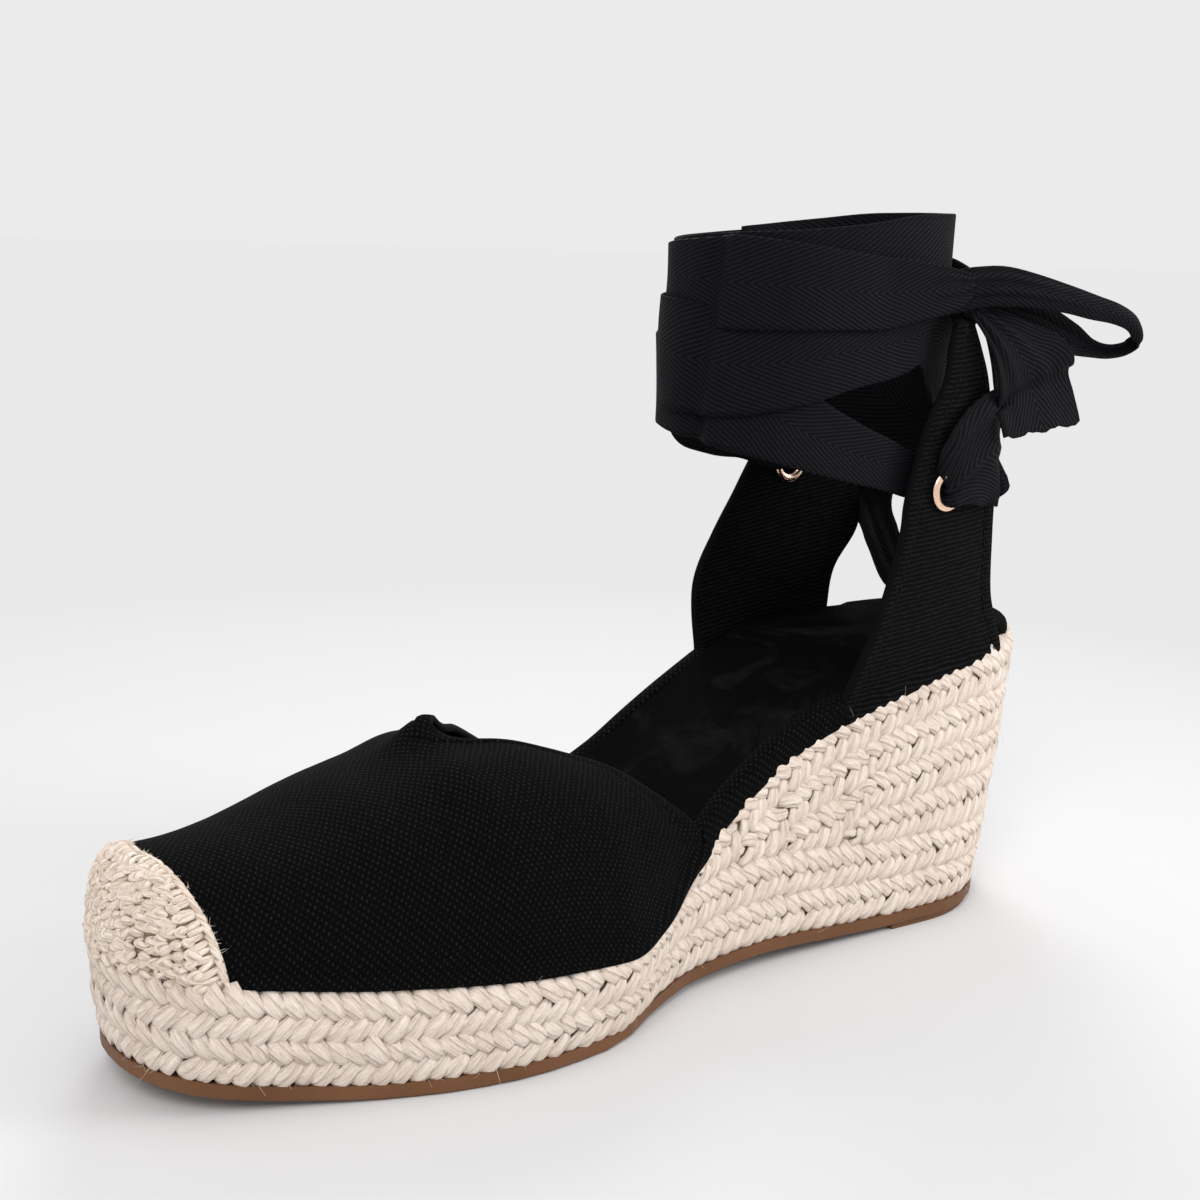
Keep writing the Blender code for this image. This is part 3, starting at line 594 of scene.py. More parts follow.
def make_studio():
    scene = bpy.context.scene
    scene.view_settings.view_transform = "Standard"
    world = bpy.data.worlds.new("studio")
    world.use_nodes = True
    sky = world.node_tree.nodes["Background"].inputs
    sky[0].default_value = (0.83, 0.83, 0.835, 1)
    sky[1].default_value = 1
    scene.world = world
    area_light("key", (0.75, -0.75, 1.15), 0.7, 9, (1, 0.985, 0.97))
    area_light("rim", (-0.9, 0.5, 0.9), 0.6, 5, (0.96, 0.98, 1))
    area_light("heel_fill", (0.6, 0.9, 0.5), 0.5, 5.8)
    mesh = bpy.data.meshes.new("floor")
    steps, radius = 96, 6
    rim = [(radius * math.cos(TURN * k / steps), radius * math.sin(TURN * k / steps), 0)
           for k in range(steps)]
    mesh.from_pydata(rim, [], [tuple(range(steps))])
    floor = add_object("floor", mesh)
    look = Look("pale_floor")
    x, y = look.parts(look.place())[:2]
    fade = look.ramp(look.math("SQRT", x * x + y * y), 0.17, 0.42)
    grain = look.noise(look.place(), 40, 2)
    look.finish(look.mix(grain, (0.655, 0.656, 0.662), (0.667, 0.668, 0.674)), 0.9)
    glow = look.node("Emission", {0: (0.818, 0.818, 0.823)})
    both = look.node("MixShader", {0: fade, 1: Wire(look, look.shader.outputs[0]), 2: glow})
    look.link(look.tree.nodes["Material Output"].inputs[0], both)
    mesh.materials.append(look.mat)


make_camera()
make_studio()


# ---------------- tape
def ring_point(degrees, inward=0):
    """Plan point (s, x) of the ankle ring, medial at 0 and the heel side at 90 degrees."""
    cx, cs, half_x, half_s, power = RING
    a = np.radians(degrees)
    c, n = np.cos(a), np.sin(a)
    x = cx + (half_x - inward) * np.copysign(np.abs(c) ** (2 / power), c)
    s = cs - (half_s - inward) * np.copysign(np.abs(n) ** (2 / power), n)
    return s, x


def ripple(points, size, depth, seed):
    """Smooth noise at each point, from -depth to depth."""
    flat = points.reshape(-1, 3) / size + seed
    return np.array([noise.noise(Vector(p)) for p in flat]).reshape(points.shape[:-1]) * depth


def corner(grid):
    """The turns' crease at the ring's medial front corner, and the hollow ahead of it."""
    x, s, z = grid[..., 0], -grid[..., 1], grid[..., 2]
    angle = np.degrees(np.arctan2((RING[1] - s) / RING[3], (x - RING[0]) / RING[2]))
    fold = -64.5 + (z - 156) * 0.25
    return 0.8 * bell(angle, fold, 3.5) - 2.4 * bell(angle, fold - 9, 6)


def ribbon(cloth, rows, count, seed=1, wave=0.5, creased=False, start=0, hem=None, camber=0):
    """Adds a run of tape through rows of (x, s, z, half width, pleat, lean in x, lean in s).

    The leans tip the direction across from upright, and are left out where they are zero;
    pleat is the depth of its gathers. Returns the middle line.
    """
    line = through([(*row, 0, 0)[:7] for row in rows], count)
    middle = point(line[:, 1], line[:, 0], line[:, 2])
    half, pleat = np.maximum(line[:, 3], 0.5), np.maximum(line[:, 4], 0)
    t = np.linspace(-1, 1, 19)
    ahead = unit(np.gradient(middle, axis=0))
    up = stacked(line[:, 5], -line[:, 6], 1)
    up = unit(up - (up * ahead).sum(1, keepdims=True) * ahead)
    face = unit(np.cross(ahead, up))[:, None]
    grid = middle[:, None] + up[:, None] * (half[:, None] * t)[:, :, None]
    if hem is not None:
        near_end = np.linspace(0, 1, len(line))[:, None, None] ** 8
        grid = grid + hem(t)[:, None] * ahead[:, None] * near_end
    folds = np.sin(t * 3 * math.pi + seed) * 0.75 + np.sin(t * 5.3 * math.pi + 1.7 * seed) * 0.45
    shape = ripple(grid, 15, wave, 4.7) + pleat[:, None] * folds
    shape = shape + camber * (TAPE_HALF - half)[:, None] * (1 - t ** 2)
    if creased:
        shape = shape + corner(grid)
    grid = grid + face * shape[:, :, None]
    normal = normals(grid)
    normal = normal * np.sign((normal * face).sum(-1, keepdims=True)) * TAPE_WALL / 2
    long = lengths(middle)[:, None] + start
    shown = np.minimum(half + 2.5, TAPE_HALF)[:, None]
    cloth.wall(grid + normal, grid - normal, stacked(long, shown * t), rim=0.25)
    return middle


def turn(table, first, last):
    """Rows of a turn round the ankle, one every eight degrees."""
    at = np.linspace(first, last, int(abs(last - first) / 8) + 2)
    low, high, depth = (smooth(table, column)(at) for column in (1, 2, 3))
    s, x = ring_point(at, depth + TAPE_WALL / 2)
    return list(zip(x, s, (low + high) / 2, (high - low) / 2, 0 * at))


# Turns round the ankle: degrees on the ring, lower edge, upper edge, depth inside the ring.
INNER_TURN = [
    (-184, 151, 177.2, 1.9), (-150, 150, 175.8, 2.1), (-108, 150, 174.9, 2.4), (-82, 151, 176.2, 2.4),
    (-55, 152, 177.2, 2.4), (-31, 153, 177.9, 2.4), (-5, 153, 179.6, 2.3), (20, 154, 182, 2.1),
    (60, 155, 182.4, 1.7), (90, 155, 182.4, 1.6), (120, 154, 182, 1.6), (150, 153, 180.2, 1.6),
    (184, 152, 177.8, 2.6),
]
UPPER_TURN = [
    (-180, 155, 175.5, 0.6), (-140, 158, 173.6, 0.8), (-117, 159.4, 173.8, 1), (-90, 158.4, 175, 0.9),
    (-75, 156.7, 175.8, 0.6), (-63, 155.2, 176.4, 0.3), (-43, 155.3, 175.7, 0.3),
    (-19, 155.4, 173.9, 0.3), (0, 155.4, 172.1, 0.2),
]
LOWER_TURN = [
    (-184, 139, 165, 1.4), (-150, 138.5, 162, 0.7), (-117, 137, 161.5, -0.2), (-90, 135.2, 161.2, -0.5),
    (-76, 134.6, 160, 0.3), (-63, 134.7, 159, 1.4), (-53, 135.3, 158.5, 1.6), (-36, 137, 158.5, 1.6),
    (-25, 138.6, 158.6, 1.6), (-9, 141.6, 159, 1.6), (9, 144, 160, 1.6), (20, 146.5, 161, 1.4),
    (32, 142.5, 160.5, 1.5), (46, 131.5, 156, 1.4), (60, 126.5, 153, 1.2), (76, 120.2, 147.5, 1.1),
    (92, 117.6, 145, 1.1), (108, 119.6, 146.5, 1.1), (120, 122.4, 149, 1.1), (134, 126.6, 152.5, 1.2),
    (150, 130.4, 156, 1.4), (176, 137.6, 160, 2.4),
]
MEDIAL_LEAD = [
    (-144, 137, 156, 1.2), (-117, 131, 152, -0.4), (-100, 129.8, 152, 0.6), (-80, 128.5, 152, 1.9),
    (-50, 125.4, 149, 2.8), (-24, 121.7, 138.6, 2.8), (-8, 119, 133.2, 2.4), (10, 115.4, 127, 1.8),
    (24, 112.6, 122.4, 0.6),
]
LATERAL_LEAD = [
    (160, 113.2, 120, 0.6), (167, 114.4, 123, 1), (175, 116.5, 129.5, 1), (184, 118, 136, 1.4),
    (196, 120, 139.5, 2.2), (213, 123, 144, 3), (232, 131, 150, 3.4),
]
# Behind the heel, from the medial eyelet round to the lateral one, in ribbon()'s columns.
HEEL_TAPE = [
    (28.4, 33.5, 119.4, 10.4, 0.9, 0, 0.15), (28, 27.6, 123, 13.6, 0.8, 0, 0.25),
    (27.2, 21.4, 125, 15, 0.5, 0, 0.2), (24, 17.2, 124.6, 12.8, 0.3), (20.6, 17.2, 122, 7.4, 0.3),
    (17.2, 17, 116.2, 6.4, 0.4), (13.8, 14.6, 107.8, 6.6, 0.4), (9.6, 11.4, 98.2, 8.2, 0.3),
    (0, 8.4, 90.4, 12, 0.15), (-9, 8.6, 85.4, 9.4, 0.3), (-17, 9.6, 85.6, 6.8, 0.5),
    (-23.8, 9.6, 94, 6.8, 0.5), (-29.4, 9.6, 103.4, 8.6, 0.4), (-33.6, 13.2, 110.6, 11, 0.4),
    (-35.6, 22, 114, 9.6, 0.6), (-36, 32, 115, 6, 0.8),
]
# The free ends, each with its last stretch over the ankle: out in a loop, back, and hanging.
BOW_NEAR = [
    (20.6, 61, 163.2, 4, 0.1), (21.4, 50, 163.2, 5.4, 0.2), (22.8, 38, 163.8, 5.2, 0.3),
    (25.2, 30.5, 165.2, 4.8, 0.4), (27.6, 23.5, 165.5, 4.7, 0.4), (29.8, 14.5, 164.4, 4, 0.25),
    (31.6, 4.5, 162.5, 3.3, 0.1), (32.8, -4, 160.5, 2.9, 0.05, 0.1, 0),
    (33.5, -12, 158.8, 2.4, 0, 0.2, 0), (33.2, -19, 156.3, 1.9, 0, 0.3, 0),
    (31.8, -23.2, 152.8, 1.7, 0, 0.3, 0), (29.8, -22.8, 149.7, 1.7, 0, 0.2, 0),
    (28.2, -17.5, 148.6, 1.6, 0), (27.3, -11, 149.6, 2.2, 0.1), (26.8, -4, 151.9, 4, 0.25),
    (26.2, 4, 153.8, 5.8, 0.4), (25.4, 12, 156.4, 5.8, 0.5), (24.4, 20, 159.2, 4.6, 0.6),
    (23.6, 25.6, 160.4, 3.4, 0.6),
]
TAIL_NEAR = [
    (23.9, 29, 160.6, 2.6, 0.5, 0.2, -3), (25.6, 25, 156.6, 4, 0.6, 0.2, -5),
    (27.2, 20.2, 152.2, 7.2, 0.5, 0.2, -5), (28.4, 15.8, 147.4, 11.2, 0.4, 0.1, -6),
    (28.4, 12.2, 143.2, 13.4, 0.3, 0.1, -8), (27, 10.3, 139.8, 13.9, 0.2, 0, -9),
    (27.8, 9.2, 136.4, 13.9, 0.2, 0, -11), (29.2, 8.6, 132.4, 13.9, 0.15, 0, -14),
    (30.2, 8.3, 129.4, 13.9, 0.1, 0, -16),
]
BOW_FAR = [
    (-27.2, 52, 160, 12, 0), (-24.6, 40, 161, 12, 0), (-18.6, 28.6, 162, 11.6, 0),
    (-9.4, 20.6, 162.6, 10.6, 0.1), (2.6, 17.2, 162.8, 8.6, 0.3), (13.6, 20, 162.6, 5.8, 0.6),
    (19.8, 23.6, 162.8, 3.8, 0.9), (18.4, 19.6, 162.2, 4.4, 0.8), (12.4, 11.6, 161.8, 5.4, 0.4),
    (1, 5.8, 160.3, 6, 0.2), (-11, 4.8, 157, 6, 0.1), (-15.6, 7.8, 155, 5.6, 0.1),
    (-11, 11, 155.8, 5.4, 0.2), (1, 11.8, 157.8, 5.2, 0.3), (10.8, 15.2, 159.2, 4.4, 0.6),
    (18.4, 21.4, 160, 3.4, 0.9),
]
TAIL_FAR = [
    (20.2, 20, 158, 3.2, 0.9, 0, -5), (18.4, 12.8, 152.6, 5.6, 0.7, 0, -5),
    (16.4, 5.6, 146.8, 8, 0.5, 0, -4), (13.8, -1.2, 140.4, 9.6, 0.4, 0, -3.4),
    (11.6, -5.2, 134.4, 10.4, 0.3, 0, -3.4), (10.4, -6.8, 130.2, 10.4, 0.3, 0, -3.4),
]
TO_KNOT = [
    (24.3, 53, 164.2, 7.6, 0.1), (25, 45, 164.3, 6.3, 0.2), (25.5, 37.5, 164.8, 4.7, 0.3),
    (25.7, 32.4, 166, 2.4, 0.3), (24.6, 28.6, 166.8, 0.9, 0.1),
]
KNOT = (22.3, 28.6, 161.4)          # centre x, s, z


def frayed(t):
    """Ends of yarns left unevenly long at a cut."""
    return 0.26 * np.sin(9 * t + 1) + 0.2 * np.sin(23 * t) + 0.14 * np.sin(47 * t + 2)


def make_knot():
    """The bow's knot: a small gathered bun, half hidden by the loop that leaves it."""
    b = np.linspace(0.12, math.pi - 0.12, 22)[:, None]
    a = TURN * np.arange(44) / 44
    size = 1 + 0.09 * np.cos(7 * a + 3 * np.cos(b)) + 0.06 * np.cos(4 * a - 5 * b)
    x = KNOT[0] + 2.9 * size * np.sin(b) * np.cos(a)
    s = KNOT[1] + 4 * size * np.sin(b) * np.sin(a)
    z = KNOT[2] - 4.4 * size * np.cos(b)
    return Cloth().skin(point(s, x, z), stacked(a * 4, b * 5)).make("knot_bun", tape, "cotton_tape", ["knot"])


def make_bow(name, loop, tail, nodes):
    """A free end: its loop and its hanging tail, which leave the knot together."""
    cloth = Cloth()
    out = ribbon(cloth, loop, 150, seed=3.1, wave=0.35, camber=0.13)
    down = ribbon(cloth, tail, 60, seed=5.3, start=130, wave=0.8, hem=frayed)
    path = put(np.concatenate([out, down])[::6])
    bow = cloth.make(name, tape, "cotton_tape", nodes)
    round(float(lengths(path)[-1]), 3)


def make_wraps():
    """Three turns round the ankle; the uppermost runs on into the knot."""
    cloth = Cloth()
    ribbon(cloth, turn(INNER_TURN, -184, 184), 200, creased=True)
    ribbon(cloth, turn(UPPER_TURN, -180, 0) + TO_KNOT, 170, creased=True, seed=2.2, start=40)
    ribbon(cloth, turn(LOWER_TURN, -184, 176), 170, creased=True, start=20)
    cloth.make("ankle_wrap_tape", tape, "cotton_tape", ["ankle_wrap"])


def through_eyelet(centre, normal, way, lift=0):
    """Rows of gathered tape through an eyelet: outwards with way 1, inwards with -1."""
    steps = [  # depth along the eyelet, way ahead, rise, half width
        (-4.2, 5.5, 2.6 + 1.4 * lift, 3.6), (-1.8, 1.8, 1.6 + lift, 2.2 - 0.3 * lift),
        (0.4, 0.6, 0.3, 2.3), (2.5, 0.6, 0.2, 4.9),
    ]
    rows = [(centre[0] + normal[0] * depth, ahead - centre[1], centre[2] + rise, half, 0.8)
            for depth, ahead, rise, half in steps]
    return rows[::way]


def make_heel_tape():
    """One run of tape: front, medial eyelet, round the heel, lateral eyelet, front again."""
    medial = through_eyelet(*FRAMES["medial"], 1)
    lateral = through_eyelet(*FRAMES["lateral"], -1, 1)
    rows = turn(MEDIAL_LEAD, -144, 20) + medial + HEEL_TAPE + lateral + turn(LATERAL_LEAD, 164, 232)
    cloth = Cloth()
    ribbon(cloth, rows, 420, seed=1.3, creased=True)
    cloth.make("heel_tape_run", tape, "cotton_tape", ["heel_tape", "tape_lead_medial", "tape_lead_lateral"])


# ---------------- plaited wedge
def wall(phi, share):
    """The wedge's side: phi runs from the heel tip along the medial side to the toe at pi."""
    phi = np.mod(phi, TURN)
    lateral = phi > math.pi
    way = (1 - np.cos(phi)) / 2
    low = 0.6 + (LENGTH - 1.2) * way
    high = -HEEL_RAKE + (TOP_TOE + HEEL_RAKE) * way
    a = point(low, sole_x(low, lateral, 0.6), bottom_height(low) + SOLE_THICK + GAP)
    b = point(high, top_x(high, lateral), sides(top_height, high, lateral))
    share = np.asarray(share, float)
    p = a + (b - a) * share[..., None]
    swell = 4 * share * (1 - share) * 0.8
    p[..., 0] += sign(lateral) * swell * np.clip(np.sin(phi) * sign(lateral) * 9, 0, 1)
    return p


def wall_height(phi):
    return wall(phi, np.ones_like(phi))[..., 2] - wall(phi, np.zeros_like(phi))[..., 2]


class Path:
    """A plait's middle line with its outward normals and half widths."""

    def __init__(self, phi, low, high, closed):
        low, high = np.clip(low, 0, 1), np.clip(high, 0, 1)
        middle = wall(phi, (low + high) / 2)
        edge = wall(phi, high) - wall(phi, low)
        self.closed = closed
        far = lengths(middle)
        self.length = far[-1]
        self.at_mm = np.arange(0, self.length, 0.5)
        middle, edge = sample(self.at_mm, far, middle), sample(self.at_mm, far, edge)
        ahead = self.soften(np.gradient(middle, axis=0))
        out = self.soften(np.cross(ahead, edge))
        rise = unit(np.cross(out, ahead))
        half = np.abs((edge * rise).sum(-1, keepdims=True)) / 2
        self.rows = np.concatenate([middle, ahead, out, half], 1)

    def soften(self, rows, width=7):
        """Directions averaged along the plait."""
        kernel = np.hanning(2 * width + 1)
        kernel = kernel / kernel.sum()
        padded = np.pad(rows, ((width, width), (0, 0)), mode="wrap" if self.closed else "edge")
        return unit(np.stack([np.convolve(c, kernel, "valid") for c in padded.T], -1))

    def at(self, u):
        """Place, direction, outward normal and half width at distances along it."""
        u = np.mod(u, self.length) if self.closed else np.clip(u, 0, self.length)
        got = sample(u, self.at_mm, self.rows)
        return got[..., :3], unit(got[..., 3:6]), unit(got[..., 6:9]), got[..., 9]


def plait(name, path, draws):
    """Strands that cross from a plait's edges to its middle, pointing along it like arrowheads."""
    count = int(path.length / PLAIT_PITCH)
    pitch = path.length / count
    t = np.linspace(0, 1, 10)
    rise_at = np.interp(t, (0, 0.12, 0.4, 0.75, 1), (-2.2, -0.45, 0.3, 0.2, -0.95))
    body = np.interp(t, (0, 0.2, 0.45, 0.78, 1), (1.25, 1.15, 1, 0.88, 0.5))
    cloth = Cloth()
    for side, start in ((1, 0), (-1, 0.5)):
        first = (np.arange(count) + start) * pitch + draws.normal(0, 0.26, count)
        reach = 5.6 + draws.normal(0, 0.3, count)
        lift = draws.normal(0, 0.14, count)
        fat = 1 + draws.normal(0, 0.06, count)
        u = first[:, None] - 0.3 + reach[:, None] * t ** 0.92
        place, ahead, out, half = path.at(u)
        scale = np.clip(half / 4.8, 0.25, 1.15)
        across = side * half * (1.01 - 1.14 * t ** 1.15)
        height = rise_at * scale + lift[:, None]
        centre = place + np.cross(out, ahead) * across[..., None] + out * height[..., None]
        thick = scale * fat[:, None]
        cloth.tubes(centre, out, 2.12 * body * thick, 0.68 * np.minimum(body, 1) * thick,
                    plies=5, twist=0.2, rough=0.05, shift=draws.uniform(0, 400, (count, 2)))
    cloth.make(name, jute, "jute_braid")


def make_wedge():
    """The core that the plaits are wound on, the lower pair all round, and the fan above it."""
    phi = np.linspace(0, TURN, 241)[:-1]
    tall = wall_height(phi)
    levels = [(0, 0, 2.6), (0.02, 0, 1.7)]    # share of the height, mm below, mm in
    levels += [(share, 0, 0.9) for share in np.linspace(0.15, 0.85, 6)]
    levels += [(1, 4.5, 2.2), (1, 2.6, 2.6), (1, 1.9, 3.4)]
    rings, uv = [], []
    for share, below, inset in levels:
        at = share - below / tall
        ring = wall(phi, at)
        side = unit(np.cross(np.gradient(ring, axis=0), [0, 0, 1]))
        side *= np.sign((side * (ring - ring.mean(0))).sum())
        rings.append(ring - side * inset)
        uv.append(stacked(phi * 40, at * 60))
    # The core's darker jute is painted shade that shows in the gaps between the plaits.
    core = Cloth().skin(np.array(rings), np.array(uv))
    core.make("wedge_core", shaded_jute_core, "jute_braid", ["wedge"])
    draws = np.random.default_rng(SEED)
    phi = np.linspace(math.pi, -math.pi, 1400)
    s = -wall(phi, np.full(len(phi), 0.5))[:, 1]
    tall = wall_height(phi)
    seam = np.minimum(seam_height(s) / tall, 1)
    plait("plait_low", Path(phi, 0.005 * np.ones_like(s), 0.5 * seam, True), draws)
    plait("plait_second", Path(phi, 0.5 * seam + 0.005, seam, True), draws)
    high = np.ones_like(s)
    for number in range(4):
        row = np.where(s < 60, np.minimum(fan_height(s), (1 - seam) * tall / 4), fan_height(s))
        spare = np.maximum((high - seam) * tall - row, 0)
        low = seam + spare * smoothstep((spare - 2.6) / 3.4) / tall
        keep = np.flatnonzero(((high - low) * tall > 3.4) & (s < 137))
        keep = np.arange(keep[0], keep[-1] + 1)
        plait("plait_fan_%d" % (number + 1), Path(phi[keep], low[keep], high[keep], False), draws)
        high = low


# ---------------- crocheted toe cap
def vamp_place(s, angle, inset):
    """The upper over the foot, at a depth under its outer face (negative outside it)."""
    lateral = angle > 90
    c, n = np.cos(np.radians(angle)), np.abs(np.sin(np.radians(angle)))
    close = rounded(TOP_TOE - UPPER_INSET - inset - s, 11, 2.5)
    ridge = (instep(s) - inset) * close
    lean = 3.5 * bell(s, 150, 34) * close
    x = np.abs(top_x(s, lateral, inset + UPPER_INSET)) * np.copysign(np.abs(c) ** 0.92, c) + lean * n ** 2
    near = bell(angle, 83, 7) * bell(s, 168, 10)
    far = bell(angle, 98, 6) * bell(s, 168, 7)
    z = sides(top_height, s, lateral) + GAP + ridge * n ** 0.92 - 0.8 * near + 3.8 * far
    return point(s, x, z)


def vamp_grid(edge, share, angles, inset):
    """The upper from an edge towards the toe, by share of the way and degrees across."""
    tip = TOP_TOE - UPPER_INSET - inset
    return vamp_place(edge + (tip - edge) * share, angles, inset)


def tuck(grid, deep, inward=1):
    """Runs both side edges on downwards and, by a share of the way, in behind the top plait."""
    ends = []
    for k in (0, grid.shape[1] - 1):
        edge = grid[:, k:k + 1]
        to_middle = edge * [0.06, 0.02, 0] + [0, 3, 0]
        ends.append(edge - np.array([0, 0, 1]) * deep - inward * to_middle)
    return np.concatenate([ends[0], grid, ends[1]], 1)


def cap_sunk(share):
    """How far the cap lies in the vamp's cloth near its rear rim, to stand little above it."""
    return 1.1 * (1 - smoothstep(share / 0.45))


def toeward(count, last=1):
    """Shares of the way to the toe, closer together near it."""
    return np.sin(math.pi / 2 * np.linspace(0, last, count))


class CapSurface:
    """The toe cap's outer face by degrees across and share of the way from its rear edge."""

    def __init__(self, inset):
        self.angles = np.linspace(0, 180, 181)
        share = toeward(160, 0.995)
        edge = cap_edge(self.angles)[:, None]
        grid = vamp_grid(edge, share, self.angles[:, None], inset + cap_sunk(share))
        even = np.linspace(0, 1, 160)
        self.grid = np.array([sample(even * far[-1], far, row) for far, row in zip(lengths(grid, 1), grid)])
        out = normals(self.grid)
        self.out = out * np.sign(out[90, 40, 2])

    def at(self, angle, share):
        """Place and outward normal; past the cap's lower edges it runs straight down."""
        a = np.clip(angle, 0, 180)
        f = np.clip(share, 0, 1) * 159
        i, j = np.minimum(a.astype(int), 179), np.minimum(f.astype(int), 158)
        p, q = (a - i)[..., None], (f - j)[..., None]
        got = []
        for table in (self.grid, self.out):
            low = table[i, j] * (1 - p) + table[i + 1, j] * p
            high = table[i, j + 1] * (1 - p) + table[i + 1, j + 1] * p
            got.append(low * (1 - q) + high * q)
        got[0][..., 2] -= 0.4 * np.abs(angle - a)
        return got[0], unit(got[1])

    def spread(self, share, pitch, offset=0):
        """Degrees across, a pitch in millimetres apart along the cap at a share of its depth."""
        far = lengths(self.at(self.angles, np.full(181, share))[0])
        count = max(int(far[-1] / pitch), 3)
        places = (np.arange(count) + offset) / (count - 0.5)
        return np.interp(places, far / far[-1], self.angles)[:, None]


def stitches(cloth, surface, angle, share, height, width, depth, draws):
    """Strands on the cap: angle, share and height are (strand, step) arrays."""
    place, out = surface.at(angle, share)
    body = 0.55 + 0.45 * np.sin(math.pi * np.linspace(0.06, 0.94, angle.shape[1])) ** 0.7
    cloth.tubes(place + out * height[..., None], out, width * body, depth * body, around=10, twist=0.8,
                rough=0.08, shift=draws.uniform(0, 400, (len(angle), 2)))


def make_cap():
    """Crochet: a thin corded rim, a row of taller stitches, then small knobbly loops to the toe."""
    draws = np.random.default_rng(SEED + 1)
    surface = CapSurface(-0.7)
    share = toeward(46)[:, None]
    angles = np.linspace(0, 180, 120)
    grids = []
    for depth in (-0.9, -0.4):
        sunk = np.minimum(depth + cap_sunk(share), depth / 6)
        grids.append(tuck(vamp_grid(cap_edge(angles) + 0.6, share, angles, sunk), 3))
    # The base is a brown sheet under the stitches: painted shade in the holes of the crochet.
    base = Cloth().wall(*grids, stacked(share * 30, np.linspace(-1, 91, 122)), rim=0.2)
    base.make("cap_base", cap_shade, "crochet_jute", ["toe_cap"])

    def vary(amount):
        return draws.normal(0, amount, (count, 1))

    t = np.linspace(0, 1, 8)[None]
    arch = np.sin(math.pi * (0.06 + 0.88 * t))
    cloth = Cloth()
    count = 46
    for start, lift, way in ((0, 0.1, 1 - t), (2, 0.35, t)):
        first = np.linspace(-3, 177, count)[:, None] + vary(0.6) + start
        angle = np.clip(first + (6.5 + vary(0.8)) * t, -2, 182)
        across = (-0.5 + 1.5 * way + vary(0.12)) / CAP_DEPTH
        height = lift + 0.5 * arch ** 0.6 + vary(0.06)
        size = np.ones((count, 1))
        stitches(cloth, surface, angle, across, height, 0.56 * size, 0.50 * size, draws)
    first = surface.spread(0.1, 1.4)
    count = len(first)
    size = np.ones((count, 1))
    first = first + vary(0.4)
    angle = first - (5 + vary(1.2)) * (t - 0.5)
    across = (0.9 + (3.4 + vary(0.3)) * t + vary(0.2)) / CAP_DEPTH
    height = 0.8 * arch ** 0.7 + vary(0.1)
    stitches(cloth, surface, angle, across, height, 0.78 * size, 0.66 * size, draws)
    cloth.make("cap_rim", crochet, "crochet_jute")

    cloth = Cloth()
    swing = -np.cos(math.pi * t)
    for number, at in enumerate(np.arange(3.9, CAP_DEPTH * 0.985, 1.95)):
        middle = surface.spread(at / CAP_DEPTH, 2.25, 0.5 * (number % 2))
        count = len(middle)
        pitch = np.gradient(middle, axis=0)
        middle = middle + vary(0.12) * pitch
        size = 1 + vary(0.13)
        turned = vary(0.35)
        drop = at + vary(0.25)
        angle = np.clip(middle + (0.44 * size * swing + 0.3 * turned * arch) * pitch, -2.5, 182.5)
        across = (drop + (1.9 * arch - 0.6 + 0.5 * turned * swing) * size) / CAP_DEPTH
        height = 0.25 + 0.55 * arch + vary(0.12)
        stitches(cloth, surface, angle, across, height, 0.60 * size, 0.62 * size, draws)
        way = draws.choice([-1, 1], (count, 1))
        angle = np.clip(middle + 0.26 * way * (2 * t - 1) * size * pitch, -2.5, 182.5)
        across = (drop + (0.2 + (1.5 + 0.5 * turned) * (t - 0.5)) * size) / CAP_DEPTH
        height = 0.2 + 0.75 * arch ** 0.7 + vary(0.16)
        stitches(cloth, surface, angle, across, height, 0.82 * size, 0.72 * size, draws)
    cloth.make("cap_rows", crochet, "crochet_jute")


# ---------------- vamp and straps
def make_vamp():
    """The vamp: folded topline, soft hollows over the toes, and weave along the foot."""
    t = np.linspace(-1, 1, 161)
    angles = 90 + 90 * np.copysign(np.abs(t) ** 1.45, t)
    share = toeward(120)[:, None]
    edge = topline(angles)
    face, lining = (vamp_grid(edge, share, angles, depth) for depth in (0, CANVAS))
    s = edge + (LENGTH - edge) * share
    inside = lengths(face)
    out = normals(face)
    out = out * np.sign(out[40, 80, 2])
    hem = 0.32 * (1 - smoothstep((inside - 4.2) / 1.4)) - 0.28 * bell(inside, 5.4, 0.8)
    waves = ripple(face, 26, 0.55, 8.3) + ripple(face, 9, 0.14, 2.9)
    fade = smoothstep(inside / 9) * (1 - smoothstep((s - 214) / 8))
    low = smoothstep((face[..., 2] - 27) / 8)
    toes = 0.8 * bell(s, 205, 9) * bell(angles, 80, 36)
    throat = 0.9 * bell(s, 186, 5) * bell(angles, 91, 22)
    waves = (waves - toes - throat * 0.5) * fade * low
    over = face[..., 2] - sides(top_height, s, angles > 90) - GAP
    free = 1 - smoothstep((s - 223.5) / 4)
    raised = smoothstep((s - 135) / 30) * free
    skirt = 1 - smoothstep(over / 3.2)
    level = unit(out * [1, 1, 0.001]) * (1.7 * skirt * free)[..., None]
    level = level + [0, 0, 0.9] * (skirt * raised)[..., None]
    inward = 1 - free[:, :1, None]
    deep = 1.3 - 1.2 * raised[:, :1, None] + 0.7 * inward
    outer = tuck(face + level + out * (waves + hem * low)[..., None], deep, inward)
    inner = tuck(lining + level * 0.6 + out * (waves * 0.9)[..., None], deep, inward)
    part = np.linspace(0, 1, 25)
    ridge = vamp_place(np.repeat(s[:, :, None], 25, 2), angles[:, None] * part + 90 * (1 - part), 0)
    around = lengths(ridge, 2)[..., -1] * np.sign(angles - 90)
    uv = np.pad(stacked(s * 1.05, around), ((0, 0), (1, 1), (0, 0)), mode="edge")
    cloth = Cloth().wall(outer, inner, uv, rim=0.55, plain_rim=True)
    cloth.make("vamp_canvas", canvas, "black_canvas", ["vamp"])


